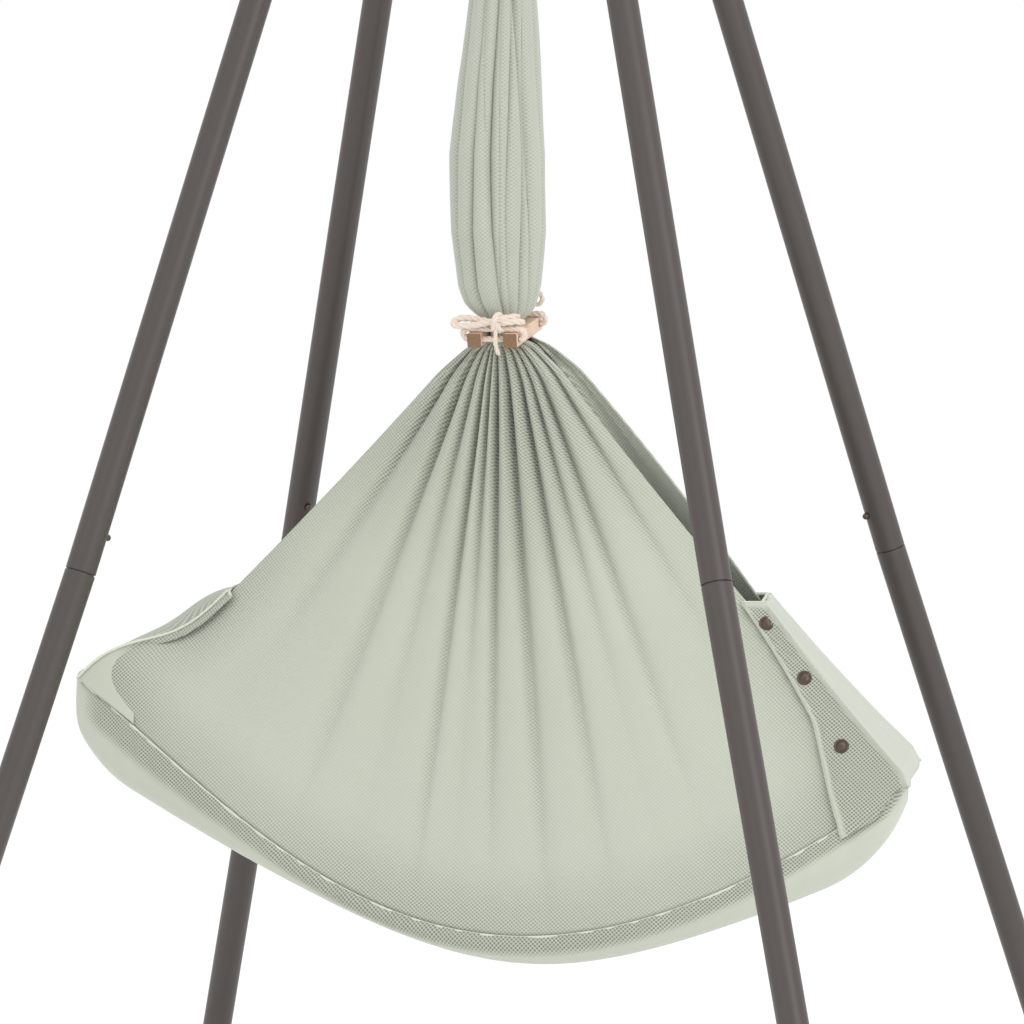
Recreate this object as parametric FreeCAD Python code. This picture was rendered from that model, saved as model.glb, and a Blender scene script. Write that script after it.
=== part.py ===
import FreeCAD, Part
import os
from math import atan, cos, degrees, pi, sin, sqrt

from FreeCAD import Vector

# Baby swing: a cloth hammock that hangs by a spring from a four-legged stand.
# Millimetres. The origin is on the floor under the hub. +Z is up, +X is the hammock's foot end.

# stand
leg_count = 4
first_leg_angle = 45.0
tube_radius = 15.0
tube_wall = 1.5
seam_height = 660.0
seam_radius = 450.0
upper_slope = 0.342
lower_slope = 0.367
seam_gap = 0.8
spigot_radius = 13.4
spigot_bore = 11.6
spigot_length = 76.0
collar_length = 22.0
hub_top = 1822.0
hub_bottom = 1772.0
hub_radius = 48.0
socket_radius = 19.0
socket_bottom = 1722.0
leg_top = 1806.0
tube_end_height = 14.0
foot_radius = 18.5
foot_height = 42.0
screw_height = 1748.0
screw_radius = 2.5
thread_radius = 5.0
clearance = 0.1

# leg buttons
button_rise = 40.0
button_radius = 3.3
button_reach = 20.0
button_hole = 3.7
button_flange = 9.0
strip_thickness = 0.8
strip_width = 6.0
strip_length = 46.0
flange_overhang = 5.0

# hanging chain, from the eye bolt down
eye_height = 1737.0
eye_ring = 15.0
eye_wire = 4.0
link_gap = 0.3
carabiner_wire = 4.0
carabiner_bend = 13.0
carabiner_straight = 36.0
gate_wire = 3.6
swivel_ring = 10.0
swivel_wire = 3.2
hook_ring = 9.5
hook_wire = 2.5
coil_radius = 19.5
coil_wire = 2.5
coil_pitch = 5.5
coil_turns = 22
plug_radius = 19.0
plug_thickness = 6.0
strap_width = 26.0
strap_thickness = 2.5
swivel_house_radius = 11.0
swivel_house_length = 19.0
swivel_pin_radius = 3.5
swivel_drop = 17.0
plug_stem = 5.0
ring_wire = 3.5
ring_bend = 17.0
ring_straight = 8.0

# hammock
cloth = 4.0
skin = 2.5
base_left = -418.0
base_right = 418.0
half_width_middle = 165.0
half_width_end = 85.0
seam_low = 304.0
seam_low_x = 70.0
under_low = 279.0
under_low_x = 85.0
under_slope = 0.5
under_bend = 150.0
corner_run = 68.0
corner_radius = 78.0
foot_skew = 0.2
foot_lift = 0.07
neck_x = 9.0
neck_half_x = 10.5
neck_half_y = 28.0
neck_bottom = 862.0
fan_x = 5.0
fan_head = 50.0
fan_foot = 58.0
bunch_top = 1330.0
panel_top = 859.0
panel_left = -372.0
panel_right = 410.0
end_top_reach = 0.6
end_top_half = 34.0
seam_curve = 0.0014
seam_flatten = 1.6e-9
base_cut_rise = 30.0
mattress_inset = 12.0
head_foot_inset = 8.0
head_foot_rise = 1.5
head_top_inset = 96.0
head_top_height = 636.0
head_bulge = 14.0
head_out_x = -0.62
head_out_z = 0.78
margin = 42.0
fold_gap = 1.6
flap_cloth = 3.0
snap_radius = 7.4
snap_dome = 14.0
stud_radius = 5.0
snap_places = [0.26, 0.57, 0.88]
snap_across = 1.5

# clamp
bar_side = 14.0
bar_length = 84.0
bar_tilt = 11.0
bar_height = 885.5
rope_radius = 3.0
lashing_y = 34.5
bow_radius = 4.5
bow_reach = (-37.0, 27.0)
tail_radius = 2.2
tail_drop = 9.0
loop_radius = 5.0
loop_wire = 2.5
loop_rise = 24.0

os.makedirs("parts", exist_ok=True)


def save(name, *solids):
    """Writes one node. Several solids in a node stay separate."""
    shape = solids[0] if len(solids) == 1 else Part.makeCompound(list(solids))
    for solid in shape.Solids:
        if not solid.isValid() or solid.Volume <= 0:
            raise ValueError("bad solid in " + name)
    shape.exportStep("parts/%s.step" % name)


def rod(start, end, radius):
    """A round bar from one point to another."""
    way = end - start
    return Part.makeCylinder(radius, way.Length, start, way)


def ball(centre, radius):
    return Part.makeSphere(radius, centre)


def ring(centre, radius, wire, axis):
    """A round ring of wire, its hole along axis."""
    return Part.makeTorus(radius, wire, centre, axis)


def disc(z_low, z_high, radius):
    """A round plate about the stand's axis."""
    return Part.makeCylinder(radius, z_high - z_low, Vector(0, 0, z_low))


def joined(*solids):
    """One solid made of overlapping ones."""
    return solids[0].multiFuse(list(solids[1:])).removeSplitter()


def turned(shape, angle):
    """A copy turned about the stand's axis."""
    copy = shape.copy()
    copy.rotate(Vector(0, 0, 0), Vector(0, 0, 1), angle)
    return copy


# One leg is worked out in the XZ plane, with +X away from the stand's axis, and is then turned to its place.

upper_tilt = atan(upper_slope)
lower_tilt = atan(lower_slope)
seam_point = Vector(seam_radius, 0, seam_height)
up_leg = Vector(-sin(upper_tilt), 0, cos(upper_tilt))
down_leg = Vector(sin(lower_tilt), 0, -cos(lower_tilt))
inward = Vector(-cos(upper_tilt), 0, -sin(upper_tilt))


def on_upper(height):
    """The point of the upper tube's axis at a height."""
    return seam_point + up_leg * ((height - seam_height) / up_leg.z)


def on_lower(height):
    """The point of the lower tube's axis at a height."""
    return seam_point + down_leg * ((height - seam_height) / down_leg.z)


button_centre = seam_point + up_leg * button_rise


def upper_leg():
    low = seam_point + up_leg * seam_gap
    high = on_upper(leg_top)
    tube = rod(low, high, tube_radius).cut(rod(low - up_leg, high + up_leg, tube_radius - tube_wall))
    button = rod(button_centre, button_centre + inward * (tube_radius + 5), button_hole)
    screw_axis = on_upper(screw_height)
    screw = rod(screw_axis - inward * (tube_radius + 5), screw_axis, screw_radius + clearance)
    return tube.cut(button).cut(screw)


def lower_leg():
    """A tube with a narrower spigot that goes up into the upper tube."""
    end = on_lower(tube_end_height)
    tube = rod(seam_point, end, tube_radius)
    shoulder = [e for e in tube.Edges if e.Closed and abs(e.CenterOfMass.z - seam_height) < 1]
    tube = tube.makeFillet(2.0, shoulder)
    tube = tube.cut(rod(seam_point + down_leg * collar_length, end + down_leg, tube_radius - tube_wall))
    spigot_low = seam_point - up_leg * (collar_length / 2)
    spigot = rod(spigot_low, seam_point + up_leg * spigot_length, spigot_radius)
    body = joined(tube, spigot)
    top = seam_point + up_leg * (spigot_length + 1)
    body = body.cut(rod(seam_point - up_leg * (collar_length + 2), top, spigot_bore))
    return body.cut(rod(button_centre, button_centre + inward * (tube_radius + 5), button_hole))


def leg_button():
    """A domed button on a flat spring strip, all inside the spigot but for the dome."""
    dome = button_centre + inward * (button_reach - button_radius)
    seat = button_centre + inward * button_flange
    stem = rod(seat, dome, button_radius)
    flange = rod(seat, seat + inward * 1.2, button_radius + 1.7)
    strip = Part.makeBox(strip_thickness, strip_width, strip_length)
    strip.translate(Vector(0, -strip_width / 2, flange_overhang - strip_length))
    strip.rotate(Vector(0, 0, 0), Vector(0, 1, 0), -degrees(upper_tilt))
    strip.translate(seat + inward * 0.4)
    return joined(stem, ball(dome, button_radius), flange, strip)


def foot():
    """A rubber cap on the end of a leg, flat where it stands on the floor."""
    reach = on_lower(foot_height)
    cap = rod(on_lower(-20), reach, foot_radius)
    rim = [e for e in cap.Edges if e.Closed and e.CenterOfMass.z > foot_height - 8]
    cap = cap.makeFillet(1.5, rim)
    cap = cap.cut(Part.makeBox(200, 200, 60, on_lower(0) + Vector(-100, -100, -60)))
    return cap.cut(rod(on_lower(tube_end_height - 0.4), on_lower(foot_height + 20), tube_radius + 0.1))


def socket_screw():
    seat = on_upper(screw_height) - inward * (socket_radius + 0.3)
    shank = rod(seat, on_upper(screw_height) - inward * (tube_radius - 4.0), screw_radius)
    head = rod(seat, seat - inward * 2.6, 4.6)
    return joined(shank, head.makeFillet(1.2, [e for e in head.Edges if e.Closed][:1]))


def hub():
    """The crown: four sleeves that take the legs, round a solid boss."""
    body = Part.makeCone(hub_radius - 12, hub_radius, 22, Vector(0, 0, hub_bottom))
    body = body.fuse(disc(hub_bottom + 22, hub_top, hub_radius + 14))
    rim = [e for e in body.Edges if e.Closed and abs(e.CenterOfMass.z - hub_top) < 0.1 and e.Length > 300]
    body = body.makeFillet(5.0, rim)
    sleeves = []
    holes = []
    for k in range(leg_count):
        angle = first_leg_angle + k * 360 / leg_count
        sleeves.append(turned(rod(on_upper(socket_bottom), on_upper(hub_top - 8), socket_radius), angle))
        bore = rod(on_upper(socket_bottom - 5), on_upper(leg_top + 0.4), tube_radius + clearance)
        holes.append(turned(bore, angle))
        axis = on_upper(screw_height)
        holes.append(turned(rod(axis - inward * (socket_radius + 2), axis, screw_radius + clearance), angle))
    body = body.multiFuse(sleeves).removeSplitter()
    holes.append(disc(hub_bottom - 10, hub_top + 10, thread_radius + clearance))
    for hole in holes:
        body = body.cut(hole)
    return body


def hub_cap():
    """A domed cover over the nut on top of the hub."""
    low = hub_top + 0.2
    outer = disc(low, low + 22, hub_radius + 8)
    rim = [e for e in outer.Edges if e.Closed and e.CenterOfMass.z > low + 20]
    outer = outer.makeFillet(12.0, rim)
    return outer.cut(disc(low - 1, low + 19, hub_radius - 6))


def eye_bolt():
    shank = disc(eye_height + eye_ring, hub_top + 15, thread_radius)
    collar = disc(hub_bottom - 6, hub_bottom - 0.1, 11.0)
    return joined(ring(Vector(0, 0, eye_height), eye_ring, eye_wire, Vector(0, 1, 0)), shank, collar)


def eye_nut():
    corners = [Vector(9.0 * cos(k * pi / 3), 9.0 * sin(k * pi / 3), hub_top + 2.2) for k in range(6)]
    prism = Part.Face(Part.makePolygon(corners + corners[:1])).extrude(Vector(0, 0, 8))
    return prism.cut(disc(hub_top, hub_top + 20, 5.05))


def eye_washer():
    return disc(hub_top + 0.1, hub_top + 2.1, 12.0).cut(disc(hub_top, hub_top + 3, 5.3))


save("hub", hub())
save("hub_cap", hub_cap())
save("eye_bolt", eye_bolt())
save("eye_nut", eye_nut())
save("eye_washer", eye_washer())
leg_parts = {
    "upper_leg": upper_leg(),
    "lower_leg": lower_leg(),
    "rubber_foot": foot(),
    "leg_button": leg_button(),
}
for k in range(leg_count):
    angle = first_leg_angle + k * 360 / leg_count
    for name, shape in leg_parts.items():
        save("%s_%d" % (name, k + 1), turned(shape, angle))
screw = socket_screw()
save("socket_screws", *[turned(screw, first_leg_angle + k * 360 / leg_count) for k in range(leg_count)])


# Hanging chain. Each link's wire passes through the next with link_gap between them, all on the stand's axis.

bend_axis = Vector(1, 0, 0)


def half_ring(z, up):
    """Half of a carabiner's bend, open towards the straight sides."""
    bend = ring(Vector(0, 0, z), carabiner_bend, carabiner_wire, bend_axis)
    low = z if up else z - 40
    return bend.common(Part.makeBox(80, 80, 40, Vector(-40, -40, low)))


def carabiner(inside_top):
    """Returns the frame, the gate and the height of the inside of the lower bend."""
    high = inside_top + carabiner_wire - carabiner_bend
    low = high - carabiner_straight
    side = rod(Vector(0, carabiner_bend, low), Vector(0, carabiner_bend, high), carabiner_wire)
    frame = joined(half_ring(high, True), side, half_ring(low, False))
    pivot = Vector(0, -carabiner_bend, low + link_gap + gate_wire)
    gate = joined(ball(pivot, gate_wire), rod(pivot, Vector(0, -carabiner_bend, high - 0.8), gate_wire))
    return frame, gate, low - carabiner_bend + carabiner_wire


top_inside = eye_height - eye_ring + eye_wire + link_gap
frame, gate, low_inside = carabiner(top_inside)
save("top_carabiner", frame)
save("top_carabiner_gate", gate)

swivel_centre = low_inside + link_gap + swivel_wire - swivel_ring
house_top = swivel_centre - swivel_ring - 1.0
house_bottom = house_top - swivel_house_length
house = disc(house_bottom, house_top, swivel_house_radius)
house = house.makeFillet(2.0, [e for e in house.Edges if e.Closed])
neck = disc(house_top - 3, swivel_centre - swivel_ring + 1, 4.5)
swivel_loop = ring(Vector(0, 0, swivel_centre), swivel_ring, swivel_wire, Vector(0, 1, 0))
swivel_head = joined(house, neck, swivel_loop)
swivel_head = swivel_head.cut(disc(house_bottom + 4, house_top - 4, 7.6))
swivel_head = swivel_head.cut(disc(house_bottom - 1, house_bottom + 5, swivel_pin_radius + clearance))
save("swivel_head", swivel_head)
head_low = house_bottom + 7.6
eye_low = house_bottom - swivel_drop
pin = disc(eye_low + swivel_ring, head_low + 2, swivel_pin_radius)
pin_head = disc(head_low, head_low + 3.2, 7.2)
swivel_eye = ring(Vector(0, 0, eye_low), swivel_ring, swivel_wire, Vector(1, 0, 0))
save("swivel_eye", joined(pin, pin_head, swivel_eye))
bearing = disc(house_bottom + 4.1, head_low - clearance, 7.3)
save("swivel_bearing", bearing.cut(disc(house_bottom, head_low + 1, swivel_pin_radius + 0.3)))

hook_centre = eye_low - swivel_ring + swivel_wire + link_gap + hook_wire - hook_ring
plug_top = hook_centre - hook_ring - plug_stem
coil_top = plug_top - plug_thickness - link_gap


def spring_plug(ring_z, plug_low):
    """A spring's end fitting: a plug that the end turn is screwed on, with a hook ring."""
    plate = disc(plug_low, plug_low + plug_thickness, plug_radius)
    plate = plate.makeFillet(1.5, [e for e in plate.Edges if e.Closed])
    low, high = sorted([ring_z, plug_low + plug_thickness / 2])
    away = hook_ring if ring_z > plug_low else 0
    stem = disc(low, high - away, 4.0) if away else disc(low + hook_ring, high, 4.0)
    return joined(plate, stem, ring(Vector(0, 0, ring_z), hook_ring, hook_wire, Vector(0, 1, 0)))


save("spring_top_plug", spring_plug(hook_centre, plug_top - plug_thickness))
coil_length = coil_pitch * coil_turns
helix = Part.makeHelix(coil_pitch, coil_length, coil_radius)
section = Part.Wire(Part.makeCircle(coil_wire, Vector(coil_radius, 0, 0), Vector(0, 1, 0)))
coil = Part.Wire(helix.Edges).makePipeShell([section], True, True)
coil.translate(Vector(0, 0, coil_top - coil_length - coil_wire))
save("spring_coil", coil)
coil_bottom = coil_top - coil_length - 2 * coil_wire
low_plug = coil_bottom - link_gap - plug_thickness
low_hook = low_plug - plug_stem - hook_ring
save("spring_bottom_plug", spring_plug(low_hook, low_plug))

inside_top = low_hook - hook_ring + hook_wire + link_gap
frame, gate, low_inside = carabiner(inside_top)
save("bottom_carabiner", frame)
save("bottom_carabiner_gate", gate)

ring_centre = low_inside + link_gap + ring_wire - ring_bend
ring_bar = ring_centre - ring_straight


def sling_ring():
    """A D-shaped ring with a straight bar below for the strap."""
    bend = ring(Vector(0, 0, ring_centre), ring_bend, ring_wire, Vector(0, 1, 0))
    bend = bend.common(Part.makeBox(80, 80, 40, Vector(-40, -40, ring_centre)))
    corners = [Vector(side * ring_bend, 0, ring_bar) for side in (-1, 1)]
    sides = [rod(c, Vector(c.x, 0, ring_centre), ring_wire) for c in corners]
    return joined(bend, *sides, *[ball(c, ring_wire) for c in corners], rod(*corners, ring_wire))


def hanging_strap():
    """Webbing that goes over the ring's bar, with both ends sewn into the cloth."""
    inner = ring_wire + 0.4
    outer = inner + strap_thickness
    low = bunch_top - 26.0
    start = Vector(-strap_width / 2, 0, ring_bar)
    over = Part.makeCylinder(outer, strap_width, start, Vector(1, 0, 0))
    tails = Part.makeBox(strap_width, 2 * outer, ring_bar - low, Vector(start.x, -outer, low))
    gap = Part.makeBox(strap_width + 2, 2 * inner, ring_bar - low + 2, Vector(start.x - 1, -inner, low - 2))
    hole = Part.makeCylinder(inner, strap_width + 2, start - Vector(1, 0, 0), Vector(1, 0, 0))
    return over.fuse(tails).cut(gap).cut(hole).removeSplitter()


save("sling_ring", sling_ring())
save("hanging_strap", hanging_strap())


def seam_z(x):
    """Height of the seam between the side panels and the base: a parabola that flattens towards the ends."""
    u = x - seam_low_x
    return seam_low + seam_curve * u ** 2 - seam_flatten * u ** 4


def under_z(x):
    """Height of the base's underside: a hyperbola, with a rounded corner at each end."""
    u = x - under_low_x
    curve = under_low + under_slope * (sqrt(u ** 2 + under_bend ** 2) - under_bend)
    into = max(x - (base_right - corner_run), (base_left + corner_run) - x, 0.0)
    return curve + corner_radius - sqrt(corner_radius ** 2 - into ** 2)


def half_width(x):
    """Half of the base's width: widest in the middle, narrow at the ends."""
    return half_width_middle - (half_width_middle - half_width_end) * (abs(x) / base_right) ** 2


def skewed(x, y, z, along):
    """A point of the hammock. The foot end's back corner is further in and higher than its front corner.
    along is the place along the base that sets how much."""
    share = min(max(along / base_right, 0.0), 1.0) ** 2
    return Vector(x - foot_skew * y * share, y, z + foot_lift * (y + half_width_end) * share)


def steps(low, high, count):
    return [low + (high - low) * k / (count - 1) for k in range(count)]


def curve_edge(points):
    """A smooth edge through points, or a straight one between two."""
    if len(points) == 2:
        return Part.LineSegment(*points).toShape()
    curve = Part.BSplineCurve()
    curve.interpolate(points)
    return curve.toShape()


def lofted(sections):
    """A solid through closed outlines. Each outline is a list of edges' points, corner to corner."""
    wires = []
    for outline in sections:
        wires.append(Part.Wire([curve_edge(points) for points in outline]))
    return Part.makeLoft(wires, True, False)


def sheet_outline(outer, inner):
    """The outline of a strip of cloth between two rows of points."""
    return [outer, [outer[-1], inner[-1]], inner[::-1], [inner[0], outer[0]]]


def slab(left, right, inset, low, high):
    """A boat-curved slab between two heights, each a function of x."""
    sections = []
    for x in steps(left, right, 15):
        side = half_width(x) - inset
        corners = [skewed(x, y, z(x), x) for y, z in ((-side, low), (side, low), (side, high), (-side, high))]
        sections.append([[corners[k], corners[(k + 1) % 4]] for k in range(4)])
    return lofted(sections)


base_outer = slab(base_left, base_right, 0, under_z, seam_z)
base_inner = slab(base_left + skin, base_right - skin, skin, lambda x: under_z(x) + skin,
                  lambda x: seam_z(x) + base_cut_rise)
save("base_pocket", base_outer.cut(base_inner))
save("mattress", slab(base_left + mattress_inset, base_right - mattress_inset, skin + 1.0,
                      lambda x: under_z(x) + skin + 0.5, lambda x: seam_z(x) - 0.5))


def fan_top(across):
    """Where the side panels' lines start under the clamp, for across from -1 (head) to 1 (foot)."""
    return fan_x + across * (fan_head if across < 0 else fan_foot)


def panel_point(t, s, side, out):
    """Point of a side panel. t runs from head to foot, s from the neck down to the seam, out is outwards."""
    across = 2 * t - 1
    edge = abs(across)
    bottom_x = panel_left + (panel_right - panel_left) * t
    top_x = fan_top(across)
    top_y = neck_half_y - 4.0 - 19.0 * edge ** 2
    low_y = half_width(bottom_x) - 1.0
    low_z = seam_z(bottom_x) + 1.0
    x = top_x + (bottom_x - top_x) * s
    y = top_y + (low_y - top_y) * s ** (1 + 1.2 * edge ** 4)
    z = panel_top + (low_z - panel_top) * s
    return skewed(x, side * (y + out), z, bottom_x)


def side_panel(side):
    rows = steps(0, 1, 7)
    return lofted([sheet_outline([panel_point(t, s, side, 0) for s in rows],
                                 [panel_point(t, s, side, -cloth) for s in rows]) for t in steps(0, 1, 15)])


save("front_panel", side_panel(-1))
save("back_panel", side_panel(1))


def head_point(s, v, out):
    """Point of the head panel. s runs up the slope, v from the front (-1) to the back (1)."""
    foot_x = base_left + head_foot_inset
    foot = Vector(foot_x, 0, seam_z(foot_x) + head_foot_rise)
    top = Vector(panel_left + head_top_inset, 0, head_top_height)
    spot = foot + (top - foot) * s
    bulge = head_bulge * sin(pi * s)
    half = (half_width_end - 4.0) + (end_top_half - half_width_end) * s ** 0.8
    return Vector(spot.x + head_out_x * (out + bulge), v * half, spot.z + head_out_z * (out + bulge))


def cross_rows(point, rows, across, thickness):
    """Outlines of a strip of cloth at each row of a surface."""
    return [sheet_outline([point(s, v, thickness) for v in across], [point(s, v, 0) for v in across])
            for s in rows]


save("head_panel", lofted(cross_rows(head_point, steps(0, 1, 6), steps(-1, 1, 5), flap_cloth)))


def panel_y(x, z):
    """Half of the distance between the side panels' outer faces at a place, found by halving."""
    low, high = 0.5, 1.0
    for _ in range(30):
        t = (low + high) / 2
        reach = (panel_top - z) / (panel_top - seam_z(panel_left + (panel_right - panel_left) * t) - 1.0)
        bottom_x = panel_left + (panel_right - panel_left) * t
        top_x = fan_top(2 * t - 1)
        if top_x + (bottom_x - top_x) * reach < x:
            low = t
        else:
            high = t
    return panel_point(low, reach, 1, 0).y


def flap_point(s, v, out):
    """Point of the foot flap. Its middle closes the end and its two margins lie outside the side panels."""
    reach = 1 - (1 - end_top_reach) * s
    x_edge = panel_right + (fan_top(1.0) - panel_right) * (1 - reach)
    z = panel_point(1.0, reach, 1, 0).z + 2.0
    swell = 3.0 + 10.0 * (1 - s) ** 3
    side = 1 if v > 0 else -1
    if abs(v) <= 1:
        y_edge = panel_y(x_edge, z) + fold_gap + out
        return skewed(x_edge + swell + out, v * y_edge, z, base_right)
    back = (abs(v) - 1) * margin
    ease = 2 - abs(v)
    y = panel_y(x_edge - back, z) + fold_gap + out
    return skewed(x_edge - back + swell * ease, side * y, z, base_right)


flap_across = (-2, -1.7, -1.35, -1.08, -0.93, -0.5, 0, 0.5, 0.93, 1.08, 1.35, 1.7, 2)
save("foot_flap", lofted(cross_rows(flap_point, steps(0.04, 1, 7), flap_across, flap_cloth)))


def snap_frame(s, side):
    """Centre on the flap's outer face and the outward normal there."""
    here = flap_point(s, side * snap_across, flap_cloth)
    along = flap_point(s + 0.02, side * snap_across, flap_cloth) - here
    across = flap_point(s, side * (snap_across + 0.05), flap_cloth) - here
    normal = along.cross(across).normalize()
    if normal.y * side < 0:
        normal = normal * -1
    return here, normal


def snap_cap(s, side):
    """A domed cap on a short collar."""
    here, normal = snap_frame(s, side)
    base = Part.makeCylinder(snap_radius, 1.2, here + normal * 0.5, normal)
    envelope = Part.makeCylinder(snap_radius, 6, here + normal * 1.7, normal)
    dome = ball(here + normal * (1.7 + 2.6 - snap_dome), snap_dome).common(envelope)
    return joined(base, dome)


def snap_stud(s, side):
    """The half of a snap that stays on the side panel: a disc in the gap behind the flap's margin."""
    here, normal = snap_frame(s, side)
    return Part.makeCylinder(stud_radius, 0.5, here - normal * 3.7, normal)


caps = [snap_cap(s, side) for side in (-1, 1) for s in snap_places]
save("snap_caps", *caps)
studs = [snap_stud(s, side) for side in (-1, 1) for s in snap_places]
save("snap_studs", *studs)


def ellipse_wire(z, x, half_x, half_y):
    """An ellipse in a level plane."""
    if half_x > half_y:
        curve = Part.Ellipse(Vector(x, 0, z), half_x, half_y)
    else:
        curve = Part.Ellipse(Vector(x, half_y, z), Vector(x + half_x, 0, z), Vector(x, 0, z))
    return Part.Wire(curve.toShape())


bunch_sections = [
    (neck_bottom, neck_x, 22.0, neck_half_y - 8),
    (867.0, neck_x, neck_half_x, neck_half_y - 4),
    (886.5, neck_x, neck_half_x, neck_half_y),
    (899.5, neck_x, neck_half_x + 1.5, neck_half_y),
    (907.0, 6.0, 25.0, neck_half_y + 0.5),
    (919.0, 3.0, 34.0, 38.0),
    (936.0, 3.0, 37.0, 48.0),
    (985.0, 3.0, 40.0, 62.0),
    (1060.0, 3.0, 41.0, 66.0),
    (1130.0, 4.0, 36.0, 58.0),
    (1211.0, 6.0, 28.0, 42.0),
    (1280.0, 3.0, 21.0, 28.0),
    (bunch_top, 0.0, 16.0, 18.0),
]
save("sling_bunch", Part.makeLoft([ellipse_wire(*row) for row in bunch_sections], True, False))


# Two square bars lie along Y, one each side of the neck, with their far ends higher.
# Rope ties their ends.

bar_offset = neck_half_x + 1.0 + bar_side / 2
rope_hole = rope_radius + 0.3
over_bars = bar_side / 2 + rope_radius + 0.3


def tilted(shape):
    """Turns a shape about the clamp's middle so that its far end is higher."""
    copy = shape.copy()
    copy.rotate(Vector(neck_x, 0, bar_height), Vector(1, 0, 0), bar_tilt)
    return copy


def clamp_bar(side):
    """A bar with a cross hole near each end for the rope."""
    corner = Vector(neck_x + side * bar_offset - bar_side / 2, -bar_length / 2, bar_height - bar_side / 2)
    bar = Part.makeBox(bar_side, bar_length, bar_side, corner)
    long_edges = [e for e in bar.Edges if abs(e.Length - bar_length) < 0.01]
    bar = bar.makeFillet(1.2, long_edges)
    for y in (-lashing_y, lashing_y):
        start = Vector(corner.x - 1, y, bar_height)
        bar = bar.cut(rod(start, start + Vector(bar_side + 2, 0, 0), rope_hole))
    return tilted(bar)


def lashing(y):
    """A ring of rope: through both bars' cross holes, then back over the top of the bars."""
    bend_radius = over_bars / 2
    left = neck_x - bar_offset - bar_side / 2 - 1.0
    right = neck_x + bar_offset + bar_side / 2 + 1.0
    heights = (bar_height, bar_height + over_bars)
    runs = [rod(Vector(left, y, z), Vector(right, y, z), rope_radius) for z in heights]
    bends = []
    for x, start in ((left, -60), (right, 0)):
        bend = ring(Vector(x, y, bar_height + bend_radius), bend_radius, rope_radius, Vector(0, 1, 0))
        bends.append(bend.common(Part.makeBox(60, 40, 60, Vector(x + start, y - 20, bar_height - 30))))
    return tilted(joined(*runs, *bends))


save("left_bar", clamp_bar(-1))
save("right_bar", clamp_bar(1))
save("front_lashing", lashing(-lashing_y))
save("back_lashing", lashing(lashing_y))

bow_height = bar_height + over_bars + rope_radius + bow_radius + link_gap
bow_ends = [Vector(neck_x + x, -lashing_y, bow_height) for x in bow_reach]
bow = joined(rod(*bow_ends, bow_radius), *[ball(end, bow_radius) for end in bow_ends])
save("rope_bow", tilted(bow))
tail_place = Vector(neck_x + 5, -bar_length / 2 - rope_radius, bar_height)
tail = rod(tail_place + Vector(0, 0, over_bars), tail_place - Vector(0, 0, tail_drop), tail_radius)
save("rope_tail", tilted(tail))
loop_place = Vector(neck_x + 22.0, bar_length / 2, bar_height + loop_rise)
save("rope_loop", tilted(ring(loop_place, loop_radius, loop_wire, Vector(0, 1, 0))))
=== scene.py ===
import math
import bpy
import numpy as np
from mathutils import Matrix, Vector


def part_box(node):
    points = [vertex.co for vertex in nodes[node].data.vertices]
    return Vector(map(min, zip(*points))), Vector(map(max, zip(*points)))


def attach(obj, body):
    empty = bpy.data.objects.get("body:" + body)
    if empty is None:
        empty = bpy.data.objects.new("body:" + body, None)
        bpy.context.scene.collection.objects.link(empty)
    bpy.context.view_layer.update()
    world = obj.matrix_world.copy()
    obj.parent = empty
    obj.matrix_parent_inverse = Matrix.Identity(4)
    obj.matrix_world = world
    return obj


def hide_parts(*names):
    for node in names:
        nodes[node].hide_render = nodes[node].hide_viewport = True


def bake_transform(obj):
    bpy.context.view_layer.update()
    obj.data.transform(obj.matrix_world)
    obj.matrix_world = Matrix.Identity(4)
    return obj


# Baby swing: mesh hammock, wooden clamp with cotton rope, spring and four-legged stand. Metres.
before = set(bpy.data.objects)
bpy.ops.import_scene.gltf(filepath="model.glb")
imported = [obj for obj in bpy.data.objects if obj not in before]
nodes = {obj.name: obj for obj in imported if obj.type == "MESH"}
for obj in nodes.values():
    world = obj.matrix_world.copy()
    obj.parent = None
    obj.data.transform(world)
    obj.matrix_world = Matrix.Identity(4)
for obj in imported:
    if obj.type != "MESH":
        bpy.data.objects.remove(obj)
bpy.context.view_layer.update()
millimetre = 0.001
# the weave is a little finer down than across, and its map runs downwards
weaveStretch = -1.04


# small helpers

def linearColour(text):
    # sRGB hex to linear rgba
    out = []
    for k in (0, 2, 4):
        c = int(text[k:k + 2], 16) / 255
        out.append(c / 12.92 if c <= 0.04045 else ((c + 0.055) / 1.055) ** 2.4)
    return (*out, 1.0)


def addNode(tree, kind, settings=None, links=None):
    # adds a node, sets its properties or sockets, and links sockets to other nodes' outputs
    node = tree.nodes.new(kind)
    for key, value in (settings or {}).items():
        if isinstance(key, str) and hasattr(node, key):
            setattr(node, key, value)
        else:
            node.inputs[key].default_value = value
    for key, source in (links or {}).items():
        tree.links.new(source, node.inputs[key])
    return node


def newMaterial(name, settings):
    # a material with its principled shader, ready for more nodes
    material = bpy.data.materials.new(name)
    material.use_nodes = True
    shader = material.node_tree.nodes["Principled BSDF"]
    for key, value in settings.items():
        shader.inputs[key].default_value = value
    return material, material.node_tree, shader


def smoothStep(x, low, high):
    k = np.clip((x - low) / (high - low), 0, 1)
    return k * k * (3 - 2 * k)


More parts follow.
